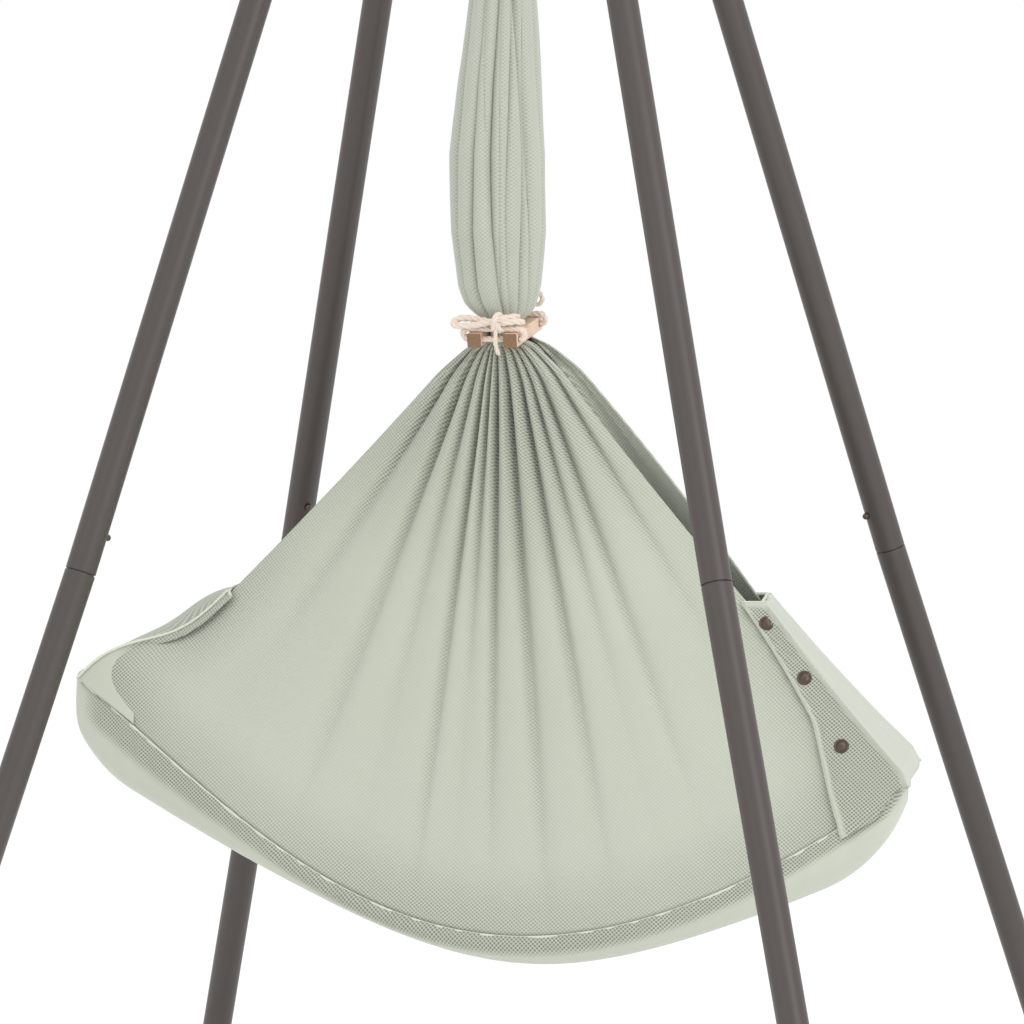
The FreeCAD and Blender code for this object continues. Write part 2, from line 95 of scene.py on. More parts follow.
def makeGrid(name, points, uv=None, paint=None, closedRows=False, closedColumns=False):
    # a surface of rows by columns of points; faces turn outwards when rows x columns do
    rows, columns = points.shape[:2]
    number = np.arange(rows * columns).reshape(rows, columns)
    r = np.arange(rows if closedRows else rows - 1)
    c = np.arange(columns if closedColumns else columns - 1)
    rr, cc = np.meshgrid(r, c, indexing="ij")
    r2, c2 = (rr + 1) % rows, (cc + 1) % columns
    quads = np.stack([number[rr, cc], number[r2, cc], number[r2, c2], number[rr, c2]], -1).reshape(-1, 4)
    mesh = bpy.data.meshes.new(name)
    mesh.from_pydata(points.reshape(-1, 3).tolist(), [], quads.tolist())
    if uv is not None:
        layer = mesh.uv_layers.new(name="UVMap")
        layer.data.foreach_set("uv", uv.reshape(-1, 2)[quads.reshape(-1)].astype(np.float32).ravel())
    for key, values in (paint or {}).items():
        mesh.attributes.new(key, "FLOAT", "POINT").data.foreach_set("value",
                                                                    values.astype(np.float32).ravel())
    mesh.polygons.foreach_set("use_smooth", np.ones(len(quads), bool))
    piece = bpy.data.objects.new(name, mesh)
    bpy.context.scene.collection.objects.link(piece)
    return piece


def addModifier(piece, kind, **settings):
    modifier = piece.modifiers.new(kind.title(), kind)
    for key, value in settings.items():
        setattr(modifier, key, value)
    return modifier


def dress(piece, material):
    piece.data.materials.clear()
    piece.data.materials.append(material)


def smoothPath(points, count):
    # a Catmull-Rom curve through points, evenly spaced along its length
    p = np.asarray(points, float)
    p = np.vstack([2 * p[0] - p[1], p, 2 * p[-1] - p[-2]])
    k = np.linspace(0, 1, 40, endpoint=False)[:, None]
    spans = []
    for a, b, c, d in zip(p[:-3], p[1:-2], p[2:-1], p[3:]):
        spans.append(0.5 * (2 * b + (c - a) * k + (2 * a - 5 * b + 4 * c - d) * k ** 2
                            + (3 * b - 3 * c + d - a) * k ** 3))
    line = np.vstack(spans + [p[-2:-1]])
    run = np.concatenate([[0], np.cumsum(np.linalg.norm(np.diff(line, axis=0), axis=1))])
    at = np.linspace(0, run[-1], count)
    return np.stack([np.interp(at, run, line[:, k]) for k in range(3)], -1)


def pathFrames(path, closed=False):
    # tangent, side and up at each point, carried along without twist
    ahead = np.roll(path, -1, 0) - np.roll(path, 1, 0)
    if not closed:
        ahead[0], ahead[-1] = path[1] - path[0], path[-1] - path[-2]
    ahead /= np.linalg.norm(ahead, axis=1)[:, None]
    side = np.zeros_like(ahead)
    start = np.cross(ahead[0], [0.0, 0.3, 1.0])
    side[0] = start / np.linalg.norm(start)
    for k in range(1, len(path)):
        s = side[k - 1] - ahead[k] * np.dot(side[k - 1], ahead[k])
        side[k] = s / np.linalg.norm(s)
    return ahead, side, np.cross(ahead, side)


def profileAlong(path, radius, sides=12, closed=False):
    # a round section of the given radius, or one radius per point, carried along a path
    ahead, side, up = pathFrames(path, closed)
    angle = np.linspace(0, 2 * np.pi, sides, endpoint=False)
    ringOut = side[:, None] * np.cos(angle)[None, :, None] + up[:, None] * np.sin(angle)[None, :, None]
    size = np.broadcast_to(np.asarray(radius, float), (len(path),))[:, None, None]
    return path[:, None] + ringOut * size


# materials, each named for what the real one is

# the darkest colour is painted shade of the hollow inside seen through the cells; the palest is the mesh where
# a lining backs it, against a base tone darkened as painted shade of the inside
meshCloth = {"spacing": 4.2 * millimetre, "holeRadius": 0.27, "softness": 0.10, "cloth": "b3b7a8",
             "holes": "666a61",
             "edge": "bdc1b2", "linedLessShade": "bcc0b3"}


def airMesh(name, strength):
    # knitted polyester air mesh: matt yarn, staggered rows of open cells, soft sheen. Each cell is a hole
    # in a staggered lattice, coloured dark as painted shade of the hollow inside seen through it, and the
    # piece's own paint says how strongly that painted shade shows there
    material, tree, shader = newMaterial(name, {"Roughness": 0.92, "Specular IOR Level": 0.2,
                                                "Sheen Weight": 0.25,
                                                "Sheen Roughness": 0.6})
    uv = addNode(tree, "ShaderNodeUVMap", {"uv_map": "UVMap"})
    s = 1 / meshCloth["spacing"]
    wobble = addNode(tree, "ShaderNodeTexNoise", {"Scale": 90.0, "Detail": 1.0},
                     {"Vector": uv.outputs["UV"]})
    shift = addNode(tree, "ShaderNodeVectorMath", {"operation": "MULTIPLY_ADD", 1: (0.0012, 0.0012, 0)},
                    {0: wobble.outputs["Color"], 2: uv.outputs["UV"]})
    cells = []
    for offset in (0.0, 0.5):
        scaled = addNode(tree, "ShaderNodeVectorMath", {"operation": "MULTIPLY_ADD", 1: (s, s * 1.12, 0),
                                                        2: (offset, offset, 0)}, {0: shift.outputs[0]})
        part = addNode(tree, "ShaderNodeVectorMath", {"operation": "FRACTION"}, {0: scaled.outputs[0]})
        middle = addNode(tree, "ShaderNodeVectorMath", {"operation": "SUBTRACT", 1: (0.5, 0.5, 0)},
                         {0: part.outputs[0]})
        cells.append(addNode(tree, "ShaderNodeVectorMath", {"operation": "LENGTH"}, {0: middle.outputs[0]}))
    near = addNode(tree, "ShaderNodeMath", {"operation": "MINIMUM"},
                   {0: cells[0].outputs["Value"], 1: cells[1].outputs["Value"]})
    r = meshCloth["holeRadius"]
    hole = addNode(tree, "ShaderNodeMapRange", {"interpolation_type": "SMOOTHSTEP",
                                                "From Min": r + meshCloth["softness"],
                                                "From Max": r - meshCloth["softness"]},
                   {"Value": near.outputs[0]})
    paint = addNode(tree, "ShaderNodeAttribute", {"attribute_name": "shadeThroughCells"})
    shown = addNode(tree, "ShaderNodeMath", {"operation": "MULTIPLY"},
                    {0: hole.outputs[0], 1: paint.outputs["Fac"]})
    place = addNode(tree, "ShaderNodeTexCoord")
    cloud = addNode(tree, "ShaderNodeTexNoise", {"Scale": 9.0, "Detail": 3.0},
                    {"Vector": place.outputs["Object"]})
    tone = addNode(tree, "ShaderNodeMix", {"data_type": "RGBA", 6: linearColour(meshCloth["cloth"]),
                                           7: linearColour(meshCloth["edge"])},
                   {0: cloud.outputs["Fac"]})
    gain = addNode(tree, "ShaderNodeMath", {"operation": "MULTIPLY", 1: strength}, {0: shown.outputs[0]})
    # the paler tone where a lining backs the mesh; without it the darker base tone stands for painted shade of
    # the hollow inside
    linedLessShade = addNode(tree, "ShaderNodeAttribute", {"attribute_name": "pale"})
    paler = addNode(tree, "ShaderNodeMix", {"data_type": "RGBA", 7: linearColour(meshCloth["linedLessShade"])},
                    {0: linedLessShade.outputs["Fac"], 6: tone.outputs[2]})
    # the cells take the dark colour, as painted shade of the inside seen through them
    colour = addNode(tree, "ShaderNodeMix", {"data_type": "RGBA", 7: linearColour(meshCloth["holes"])},
                     {0: gain.outputs[0], 6: paler.outputs[2]})
    tree.links.new(colour.outputs[2], shader.inputs["Base Color"])
    bump = addNode(tree, "ShaderNodeBump", {"Strength": 0.45, "Distance": 0.0012, "invert": True},
                   {"Height": gain.outputs[0]})
    tree.links.new(bump.outputs[0], shader.inputs["Normal"])
    return material


def plainCloth(name, colour, threads, bumpStrength):
    # close plain-woven cotton: crossing threads too fine to see, drawn at 1.6 mm so that they just show
    material, tree, shader = newMaterial(name, {"Roughness": 0.9, "Specular IOR Level": 0.2,
                                                "Sheen Weight": 0.3,
                                                "Sheen Roughness": 0.5})
    uv = addNode(tree, "ShaderNodeUVMap", {"uv_map": "UVMap"})
    waves = []
    for direction in ("X", "Y"):
        waves.append(addNode(tree, "ShaderNodeTexWave",
                             {"bands_direction": direction, "Scale": 1 / threads / 20 * 6.3,
                                                         "Distortion": 0.6}, {"Vector": uv.outputs["UV"]}))
    both = addNode(tree, "ShaderNodeMath", {"operation": "MULTIPLY"},
                   {0: waves[0].outputs["Fac"], 1: waves[1].outputs["Fac"]})
    place = addNode(tree, "ShaderNodeTexCoord")
    cloud = addNode(tree, "ShaderNodeTexNoise", {"Scale": 14.0, "Detail": 4.0},
                    {"Vector": place.outputs["Object"]})
    light = tuple(min(1.0, c * 1.08) for c in linearColour(colour)[:3]) + (1.0,)
    tone = addNode(tree, "ShaderNodeMix", {"data_type": "RGBA", 6: linearColour(colour), 7: light},
                   {0: cloud.outputs["Fac"]})
    tree.links.new(tone.outputs[2], shader.inputs["Base Color"])
    bump = addNode(tree, "ShaderNodeBump", {"Strength": bumpStrength, "Distance": 0.0006},
                   {"Height": both.outputs[0]})
    tree.links.new(bump.outputs[0], shader.inputs["Normal"])
    return material


def hardSurface(name, colour, tint, settings, spots, bump, fine=None, spread=None):
    # one colour that turns to its tint in soft spots; the spots, or a finer noise, also lift the surface,
    # and the roughness spreads round its own value with them
    material, tree, shader = newMaterial(name, settings)
    place = addNode(tree, "ShaderNodeTexCoord")
    wear = addNode(tree, "ShaderNodeTexNoise", spots, {"Vector": place.outputs["Object"]})
    other = tuple(c * tint for c in linearColour(colour)[:3]) + (1.0,)
    tone = addNode(tree, "ShaderNodeMix", {"data_type": "RGBA", 6: linearColour(colour), 7: other},
                   {0: wear.outputs["Fac"]})
    tree.links.new(tone.outputs[2], shader.inputs["Base Color"])
    if spread:
        low, high = (settings["Roughness"] + change for change in spread)
        rough = addNode(tree, "ShaderNodeMapRange", {"To Min": low, "To Max": high},
                        {"Value": wear.outputs["Fac"]})
        tree.links.new(rough.outputs[0], shader.inputs["Roughness"])
    grain = addNode(tree, "ShaderNodeTexNoise", fine, {"Vector": place.outputs["Object"]}) if fine else wear
    raised = addNode(tree, "ShaderNodeBump", bump, {"Height": grain.outputs["Fac"]})
    tree.links.new(raised.outputs[0], shader.inputs["Normal"])
    return material


def powderCoat(name, colour, roughness):
    # polyester powder coat on steel tube: satin, with the fine orange peel of the cured powder
    return hardSurface(name, colour, 0.86, {"Roughness": roughness, "Specular IOR Level": 0.5},
                       {"Scale": 6.0, "Detail": 5.0}, {"Strength": 0.12, "Distance": 0.0004},
                       {"Scale": 420.0, "Detail": 2.0}, (-0.06, 0.08))


def plainMetal(name, colour, roughness, grain):
    # bare or plated metal with faint drawing marks and stains
    return hardSurface(name, colour, 0.6, {"Metallic": 1.0, "Roughness": roughness},
                       {"Scale": grain, "Detail": 5.0},
                       {"Strength": 0.15, "Distance": 0.0004}, None, (-0.08, 0.12))


def rubber(name, colour):
    # moulded rubber: nearly black, dull, with a faint pebble from the mould
    return hardSurface(name, colour, 1.5, {"Roughness": 0.75, "Specular IOR Level": 0.35},
                       {"Scale": 260.0, "Detail": 3.0}, {"Strength": 0.3, "Distance": 0.0005})


def beech(name):
    # sanded beech: pale pinkish long grain with short dark flecks, and brown rough-sawn ends
    material, tree, shader = newMaterial(name, {"Roughness": 0.6, "Specular IOR Level": 0.35})
    place = addNode(tree, "ShaderNodeTexCoord")
    along = addNode(tree, "ShaderNodeMapping", {"Scale": (1.0, 0.06, 1.0)},
                    {"Vector": place.outputs["Object"]})
    grain = addNode(tree, "ShaderNodeTexNoise", {"Scale": 700.0, "Detail": 4.0},
                    {"Vector": along.outputs[0]})
    fleck = addNode(tree, "ShaderNodeTexNoise", {"Scale": 240.0, "Detail": 2.0},
                    {"Vector": along.outputs[0]})
    dark = addNode(tree, "ShaderNodeMapRange", {"From Min": 0.62, "From Max": 0.72},
                   {"Value": fleck.outputs["Fac"]})
    side = addNode(tree, "ShaderNodeMix", {"data_type": "RGBA", 6: linearColour("ead0bd"),
                                           7: linearColour("d9b59b")},
                   {0: grain.outputs["Fac"]})
    flecked = addNode(tree, "ShaderNodeMix", {"data_type": "RGBA", 7: linearColour("b98f70")},
                      {0: dark.outputs[0], 6: side.outputs[2]})
    pores = addNode(tree, "ShaderNodeTexNoise", {"Scale": 900.0, "Detail": 3.0},
                    {"Vector": place.outputs["Object"]})
    ends = addNode(tree, "ShaderNodeMix", {"data_type": "RGBA", 6: linearColour("5e4732"),
                                           7: linearColour("a08060")},
                   {0: pores.outputs["Fac"]})
    split = addNode(tree, "ShaderNodeSeparateXYZ", None, {0: place.outputs["Normal"]})
    turned = addNode(tree, "ShaderNodeMath", {"operation": "ABSOLUTE"}, {0: split.outputs["Y"]})
    isEnd = addNode(tree, "ShaderNodeMapRange", {"From Min": 0.85, "From Max": 0.93},
                    {"Value": turned.outputs[0]})
    colour = addNode(tree, "ShaderNodeMix", {"data_type": "RGBA"},
                     {0: isEnd.outputs[0], 6: flecked.outputs[2], 7: ends.outputs[2]})
    tree.links.new(colour.outputs[2], shader.inputs["Base Color"])
    bump = addNode(tree, "ShaderNodeBump", {"Strength": 0.3, "Distance": 0.0004},
                   {"Height": pores.outputs["Fac"]})
    tree.links.new(bump.outputs[0], shader.inputs["Normal"])
    return material


def cottonRope(name, colour):
    # twisted unbleached cotton: soft off-white strands with loose fibres, darker where strands meet
    material, tree, shader = newMaterial(name, {"Roughness": 0.95, "Specular IOR Level": 0.15,
                                                "Sheen Weight": 0.4,
                                                "Sheen Roughness": 0.6})
    uv = addNode(tree, "ShaderNodeUVMap", {"uv_map": "UVMap"})
    fibres = addNode(tree, "ShaderNodeMapping", {"Scale": (900.0, 160.0, 1.0)},
                     {"Vector": uv.outputs["UV"]})
    yarn = addNode(tree, "ShaderNodeTexNoise", {"Scale": 1.0, "Detail": 3.0}, {"Vector": fibres.outputs[0]})
    darker = tuple(c * 0.78 for c in linearColour(colour)[:3]) + (1.0,)
    tone = addNode(tree, "ShaderNodeMix", {"data_type": "RGBA", 6: linearColour(colour), 7: darker},
                   {0: yarn.outputs["Fac"]})
    tree.links.new(tone.outputs[2], shader.inputs["Base Color"])
    bump = addNode(tree, "ShaderNodeBump", {"Strength": 0.5, "Distance": 0.0006},
                   {"Height": yarn.outputs["Fac"]})
    tree.links.new(bump.outputs[0], shader.inputs["Normal"])
    return material


meshMaterial = airMesh("sageAirMesh", 0.8)
pocketCloth = plainCloth("pocketCotton", "c9cdbf", 1.6 * millimetre, 0.2)
webbingCloth = plainCloth("sageWebbing", "c3c9b4", 1.6 * millimetre, 0.6)
mattressCover = plainCloth("mattressCotton", "e9e6da", 1.6 * millimetre, 0.25)
threadCloth = plainCloth("sewingThread", "ced2c4", 1.6 * millimetre, 0.3)
tubeCoat = powderCoat("greyPowderCoat", "4a423f", 0.40)
capPlastic = powderCoat("hubCapNylon", "3a3735", 0.55)
footRubber = rubber("footRubber", "1c1b1b")
platedSteel = plainMetal("zincPlatedSteel", "c4c5c7", 0.32, 60.0)
springSteel = plainMetal("drawnSpringSteel", "a9aaad", 0.36, 90.0)
agedBronze = plainMetal("agedBronze", "6c5f56", 0.42, 500.0)
beechWood = beech("sandedBeech")
ropeCotton = cottonRope("twistedCotton", "f0e0d2")
print("materials made")

for names, material in (
    (["hub"] + ["%s_leg_%d" % (part, k) for part in ("upper", "lower") for k in range(1, 5)], tubeCoat),
    (["hub_cap"], capPlastic),
    (["rubber_foot_%d" % k for k in range(1, 5)], footRubber),
    (["eye_bolt", "eye_nut", "eye_washer", "socket_screws", "top_carabiner", "top_carabiner_gate",
      "swivel_head",
      "swivel_eye", "swivel_bearing", "spring_top_plug", "spring_bottom_plug", "bottom_carabiner",
      "bottom_carabiner_gate", "sling_ring"], platedSteel),
    (["leg_button_%d" % k for k in range(1, 5)], agedBronze),
    (["left_bar", "right_bar"], beechWood),
):
    for name in names:
        dress(nodes[name], material)


# the hammock's shape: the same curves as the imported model, so each cloth lies where its solid is

hammock = {"left": -0.418, "right": 0.418, "panelLeft": -0.372, "panelRight": 0.410, "panelTop": 0.859,
           "neck": 0.009, "halfMiddle": 0.165, "halfEnd": 0.085, "skew": 0.2, "lift": 0.07,
           "fan": (0.005, 0.050, 0.058), "clothThickness": 1.8 * millimetre}


def seamHeight(x):
    # a parabola, lowest a little to the foot end, that flattens towards both ends
    u = x - 0.07
    return 0.304 + 1.4 * u ** 2 - 1.6 * u ** 4


def underHeight(x):
    # a hyperbola with a quarter-round corner at each end
    u = x - 0.085
    into = np.maximum(np.maximum(x - 0.350, -0.350 - x), 0)
    return 0.279 + 0.5 * (np.sqrt(u ** 2 + 0.15 ** 2) - 0.15) + 0.078 - np.sqrt(np.maximum(0.078 ** 2
            - into ** 2, 0))


def halfWidth(x):
    # widest in the middle, narrower by the square of the distance
    return hammock["halfMiddle"] - (hammock["halfMiddle"] - hammock["halfEnd"]) * (np.abs(x)
            / hammock["right"]) ** 2


def skewed(x, y, z, along):
    # the foot end is cut slanting: x moves back and z up in step with y, more the nearer to the foot end
    share = np.clip(np.asarray(along) / hammock["right"], 0, 1) ** 2
    lifted = z + hammock["lift"] * (y + hammock["halfEnd"]) * share
    return np.stack(np.broadcast_arrays(x - hammock["skew"] * y * share, y, lifted), -1)


def fanTop(across):
    # where the lines of the fan start under the clamp, from head (-1) to foot (1)
    start, head, foot = hammock["fan"]
    return start + across * np.where(across < 0, head, foot)


def panelPoint(t, s, side, out=0.0):
    # straight lines from the neck (s = 0) down to the seam (s = 1), fanned from head (t = 0) to foot (t =
    # 1); the half width grows with s, later at the two ends
    across = 2 * t - 1
    edge = np.abs(across)
    bottomX = hammock["panelLeft"] + (hammock["panelRight"] - hammock["panelLeft"]) * t
    topX = fanTop(across)
    topY = 0.024 - 0.019 * edge ** 2
    lowY = halfWidth(bottomX) - 0.001
    lowZ = seamHeight(bottomX) + 0.001
    x = topX + (bottomX - topX) * s
    y = topY + (lowY - topY) * s ** (1 + 1.2 * edge ** 4)
    z = hammock["panelTop"] + (lowZ - hammock["panelTop"]) * s
    return skewed(x, side * (y + out), z, bottomX)


def panelHalfWidth(x, z):
    # how far out the side panels are at a place, found by halving along t
    low, high = np.full(np.shape(x), 0.0), np.ones(np.shape(x))
    for _ in range(30):
        t = (low + high) / 2
        bottomX = hammock["panelLeft"] + (hammock["panelRight"] - hammock["panelLeft"]) * t
        reach = (hammock["panelTop"] - z) / (hammock["panelTop"] - seamHeight(bottomX) - 0.001)
        topX = fanTop(2 * t - 1)
        before = topX + (bottomX - topX) * reach < x
        low, high = np.where(before, t, low), np.where(before, high, t)
    return panelPoint(low, np.clip(reach, 0, 1), 1)[..., 1]


# valleys of the pleats, as places from head to foot, with how deep each is and how far down it runs
pleats = {
    "long": [(-0.02, 0.5, 0.6), (0.12, 0.8, 0.7), (0.257, 1.1, 0.95), (0.345, 0.7, 0.7), (0.43, 1.1, 1.0),
             (0.482, 0.7, 0.6),
             (0.532, 1.1, 0.9), (0.607, 1.2, 1.0), (0.69, 1.1, 0.95), (0.755, 0.7, 0.6), (0.81, 1.0, 0.85),
             (0.92, 0.7, 0.6),
             (1.02, 0.5, 0.5)],
    "short": 24,
    "depth": 0.0160,
    "shortDepth": 0.003,
}


def pleatDepth(t, s, phase):
    # between two valleys the cloth arches like a sail: 1 - |2f - 1|^2.2 of the way f from one valley to the
    # next. The long pleats fade with s as each valley's own reach says, and a finer set lives only near the
    # clamp
    places = np.array([v[0] for v in pleats["long"]])
    deep = np.array([v[1] for v in pleats["long"]])
    reach = np.array([v[2] for v in pleats["long"]])
    t, s = np.broadcast_arrays(t, s)
    k = np.clip(np.searchsorted(places, t, side="right") - 1, 0, len(places) - 2)
    f = np.clip((t - places[k]) / (places[k + 1] - places[k]), 0, 1)
    arch = 1 - np.abs(2 * f - 1) ** 2.2
    nearDeep = deep[k] + (deep[k + 1] - deep[k]) * f
    nearReach = reach[k] + (reach[k + 1] - reach[k]) * f
    fade = np.clip(1 - s / nearReach, 0, 1) ** 1.1 * (0.35 + 0.65 * smoothStep(s, 0.0, 0.12))
    broad = 0.30 * np.clip(1 - s, 0, 1)
    main = (arch - 0.7) * nearDeep * (fade + broad) * pleats["depth"]
    n = pleats["short"]
    g = t * n + 0.35 * np.sin(9.0 * t + phase) + 0.22 * np.sin(31.0 * t + 2 * phase)
    shortReach = 0.20 + 0.16 * np.sin(np.floor(g) * 2.4 + phase)
    ripple = (np.abs(np.sin(np.pi * g)) ** 0.8 - 0.6) * np.clip(1 - s / shortReach, 0, 1)
    return main + ripple * pleats["shortDepth"]


def surfaceUV(points):
    # lengths along the rows and the columns of the middle line, in metres, so a weave keeps its real size
    du = np.linalg.norm(np.diff(points, axis=1), axis=-1)
    dv = np.linalg.norm(np.diff(points, axis=0), axis=-1)
    u = np.concatenate([np.zeros((points.shape[0], 1)), np.cumsum(du, 1)], 1)
    v = np.concatenate([np.zeros((1, points.shape[1])), np.cumsum(dv, 0)], 0)
    u -= u[:, points.shape[1] // 2:points.shape[1] // 2 + 1]
    return np.stack([u, v], -1)


def clothPiece(name, points, material, body, cads, uv=None, paint=None, thickness=None, offset=-1.0):
    piece = makeGrid(name, points, surfaceUV(points) if uv is None else uv, paint)
    dress(piece, material)
    addModifier(piece, "SOLIDIFY", thickness=thickness or hammock["clothThickness"], offset=offset,
                use_rim=True)
    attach(piece, body)
    if cads:
        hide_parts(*cads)
    return piece


def headEdge(k):
    # the hem where the head end meets a side panel, from the tip (k = 0) up to the corner (k = 1): a gentle
    # S
    tipX, topX, topZ = -0.405, -0.262, 0.626
    tipZ = seamHeight(tipX) + 0.001
    x = tipX + (topX - tipX) * k
    z = tipZ + (topZ - tipZ) * k + 0.008 * np.sin(2 * np.pi * k) - 0.004 * np.sin(np.pi * k)
    low = halfWidth(x) + 0.0015
    high = 0.005 + 0.0965 * (1 - 0.34 * k) ** 2.2
    return x, low + (high - low) * smoothStep(k, 0.0, 0.55), z


def sidePanel(name, side, cad, phase):
    rows, columns = 150, 300
    q = np.linspace(0, 1, rows)[:, None] ** 1.15
    t = np.linspace(0, 1, columns)[None, :]
    s = np.maximum((q - 0.05) / 0.95, 0)
    down = pleatDepth(t, s, phase)
    points = panelPoint(t, s, side, down)
    across = 2 * t - 1
    edge = np.abs(across)
    # the head edge runs out to the hem of the head end: a straight line, then the hem's own curve
    bend = 0.66
    upper, lower = np.clip(s / bend, 0, 1), np.clip((s - bend) / (1 - bend), 0, 1)
    hemX, hemY, hemZ = headEdge(1 - lower)
    topX, topZ = headEdge(1.0)[0], headEdge(1.0)[2]
    lineX = np.where(s < bend, fanTop(-1.0) + (topX - fanTop(-1.0)) * upper, hemX)
    lineZ = np.where(s < bend, hammock["panelTop"] + (topZ - hammock["panelTop"]) * upper, hemZ)
    pull = np.clip(1 - t / 0.16, 0, 1) ** 1.6
    straight = panelPoint(0.0, s, side, 0.0)
    points[..., 0] += (lineX - straight[..., 0]) * pull
    points[..., 2] += (lineZ - straight[..., 2]) * pull
    points[..., 1] += side * (hemY - np.abs(straight[..., 1])) * pull * smoothStep(s, bend, bend + 0.1)
    # near the clamp the back panel's foot edge hangs out in a bow, and the front panel's is drawn in
    bow = np.clip(1 - s / 0.62, 0, 1) * (0.6 + 3.2 * s)
    points[..., 0] += (0.016 if side > 0 else -0.012) * bow * np.clip(across, 0, 1) ** 5
    # above the fan the cloth gathers into the neck between the two bars
    gather = 0.0011 * np.sin(np.pi * 30 * t + phase)
    neckY = side * (0.0262 * np.sqrt(1 - 0.93 * across ** 2) + gather)
    neck = np.stack(np.broadcast_arrays(hammock["neck"] + 0.0112 * across + 0 * q, neckY,
                                        0.8855 + 0.19 * neckY + 0 * q), -1)
    points = neck + (points - neck) * smoothStep(q, -0.02, 0.10)[..., None]
    spread = np.stack(np.broadcast_arrays(points[..., 0], points[..., 2] * weaveStretch + 0.25 * down), -1)
    # painted shade seen through the cells: strongest in the pleats near the clamp, in the valleys and along
    # the seam, and near the panel's ends lower down
    valley = smoothStep(-down, -0.001, 0.004)
    holes = 0.20 + 0.55 * smoothStep(1 - s, 0.50, 0.92) + 0.35 * valley + 0.55 * smoothStep(s, 0.86, 0.99)
    holes = holes + 0.5 * smoothStep(edge, 0.80, 1.0) * smoothStep(s, 0.2, 0.8)
    holes = np.clip(holes * (0.85 + 0.15 * np.sin(11 * t + 3 * s)), 0, 1)
    if side < 0:
        points, spread, holes = points[:, ::-1], spread[:, ::-1], holes[:, ::-1]
    points, spread, holes = points[::-1], spread[::-1], holes[::-1]
    # paler lower down, where a lining backs the mesh; higher up the darker tone is painted shade of the hollow
    # inside
    liningLessShade = np.clip(0.75 * smoothStep(s, 0.35, 0.85) * np.ones_like(t), 0, 1)
    liningLessShade = liningLessShade[:, ::-1] if side < 0 else liningLessShade
    return clothPiece(name, points, meshMaterial, "hammock", [cad], spread,
                      {"shadeThroughCells": holes, "pale": liningLessShade[::-1]})


sidePanel("frontPanel", -1, "front_panel", 0.4)
sidePanel("backPanel", 1, "back_panel", 2.1)
print("side panels made")


# the gathered top of the sling: level ellipses (height, x, half x, half y), creased by deep upright pleats
bunch = {
    "sections": [(0.862, 9, 14, 19), (0.874, 9, 9.8, 24), (0.8865, 9, 9.8, 26.5), (0.896, 9, 11.5, 27.5),
                 (0.904, 7, 25, 30), (0.914, 4, 32, 35), (0.930, 3, 36, 45), (0.985, 3, 40, 61),
                 (1.06, 3, 40, 64),
                 (1.13, 4, 35, 56), (1.211, 6, 28, 41), (1.28, 3, 21, 28), (1.32, 0.5, 16.5, 19),
                 (1.338, 0, 14.6, 9),
                 (1.342, 0, 14, 6.6)],
    "pleats": [(0.02, 0.7), (0.55, 1.0), (0.95, 0.6), (1.35, 1.1), (1.72, 0.6), (2.15, 1.1), (2.6, 0.7),
               (3.05, 1.0),
               (3.5, 0.7), (3.98, 1.0), (4.44, 1.4), (4.78, 0.35), (5.09, 1.4), (5.24, 0.4), (5.39, 1.1),
               (5.62, 1.0),
               (5.9, 0.6)],
    "depth": 14.0,
}


def makeBunch():
    # an ellipse at each height, pushed in at each pleat by a cusp, exp(-|angle from the pleat| / width),
    # deepest where the bunch is fullest; the pleats lean a little as they rise
    table = np.array(bunch["sections"])
    rows, columns = 150, 330
    z = np.linspace(table[0, 0], table[-1, 0], rows)
    cx, hx, hy = (np.interp(z, table[:, 0], table[:, k]) * millimetre for k in (1, 2, 3))
    for values in (cx, hx, hy):
        wide = np.concatenate([np.full(1, values[0]), values, np.full(1, values[-1])])
        values[:] = np.convolve(wide, [0.25, 0.5, 0.25], "valid")
    angle = np.linspace(0, 2 * np.pi, columns, endpoint=False)[None, :]
    rise = (z - 0.905)[:, None]
    push = 0 * angle + 0 * rise
    for number, (place, deep) in enumerate(bunch["pleats"]):
        lean = place + 0.10 * np.sin(rise * 6.0 + number * 1.3) + 0.05 * np.sin(rise * 14.0 + number * 2.9)
        away = np.abs((angle - lean + np.pi) % (2 * np.pi) - np.pi)
        push = push + deep * np.exp(-away / 0.075) * (0.8 + 0.35 * np.sin(rise * 9.0 + number * 2.1))
    push -= 0.25
    full = np.interp(z, [0.862, 0.893, 0.915, 0.96, 1.06, 1.21, 1.3, 1.342],
                     [0.25, 0.25, 0.6, 0.85, 1.0, 0.9, 0.5, 0.15])[:, None]
    inward = push * full * bunch["depth"] * millimetre
    swell = 0.0012 * np.sin(rise * 22.0 + 3 * angle) * full
    x = cx[:, None] + (hx[:, None] - inward * np.minimum(1, hx[:, None] / 0.03) + swell) * np.cos(angle)
    y = (hy[:, None] - inward + swell) * np.sin(angle)
    points = np.stack(np.broadcast_arrays(x, y, z[:, None]), -1)
    points = np.concatenate([points, points[:, :1]], 1)
    around = np.append(angle[0], 2 * np.pi)[None, :] * 0.050
    uv = np.stack(np.broadcast_arrays(around, z[:, None]), -1)
    # painted shade seen through the cells, even over the whole bunch, which also takes the paler lined tone
    cells = np.full(points.shape[:2], 0.85)
    return clothPiece("gatheredTop", points[:, ::-1][::-1], meshMaterial, "hammock", ["sling_bunch"],
                      uv[:, ::-1][::-1], {"shadeThroughCells": 0.45 * cells, "pale": 1.1 * cells})


makeBunch()


# the base: a boat-shaped pocket under the seam that holds the mattress
base = {"rows": 150, "strip": 16 * millimetre, "corner": 0.019, "thickness": 2.2 * millimetre}


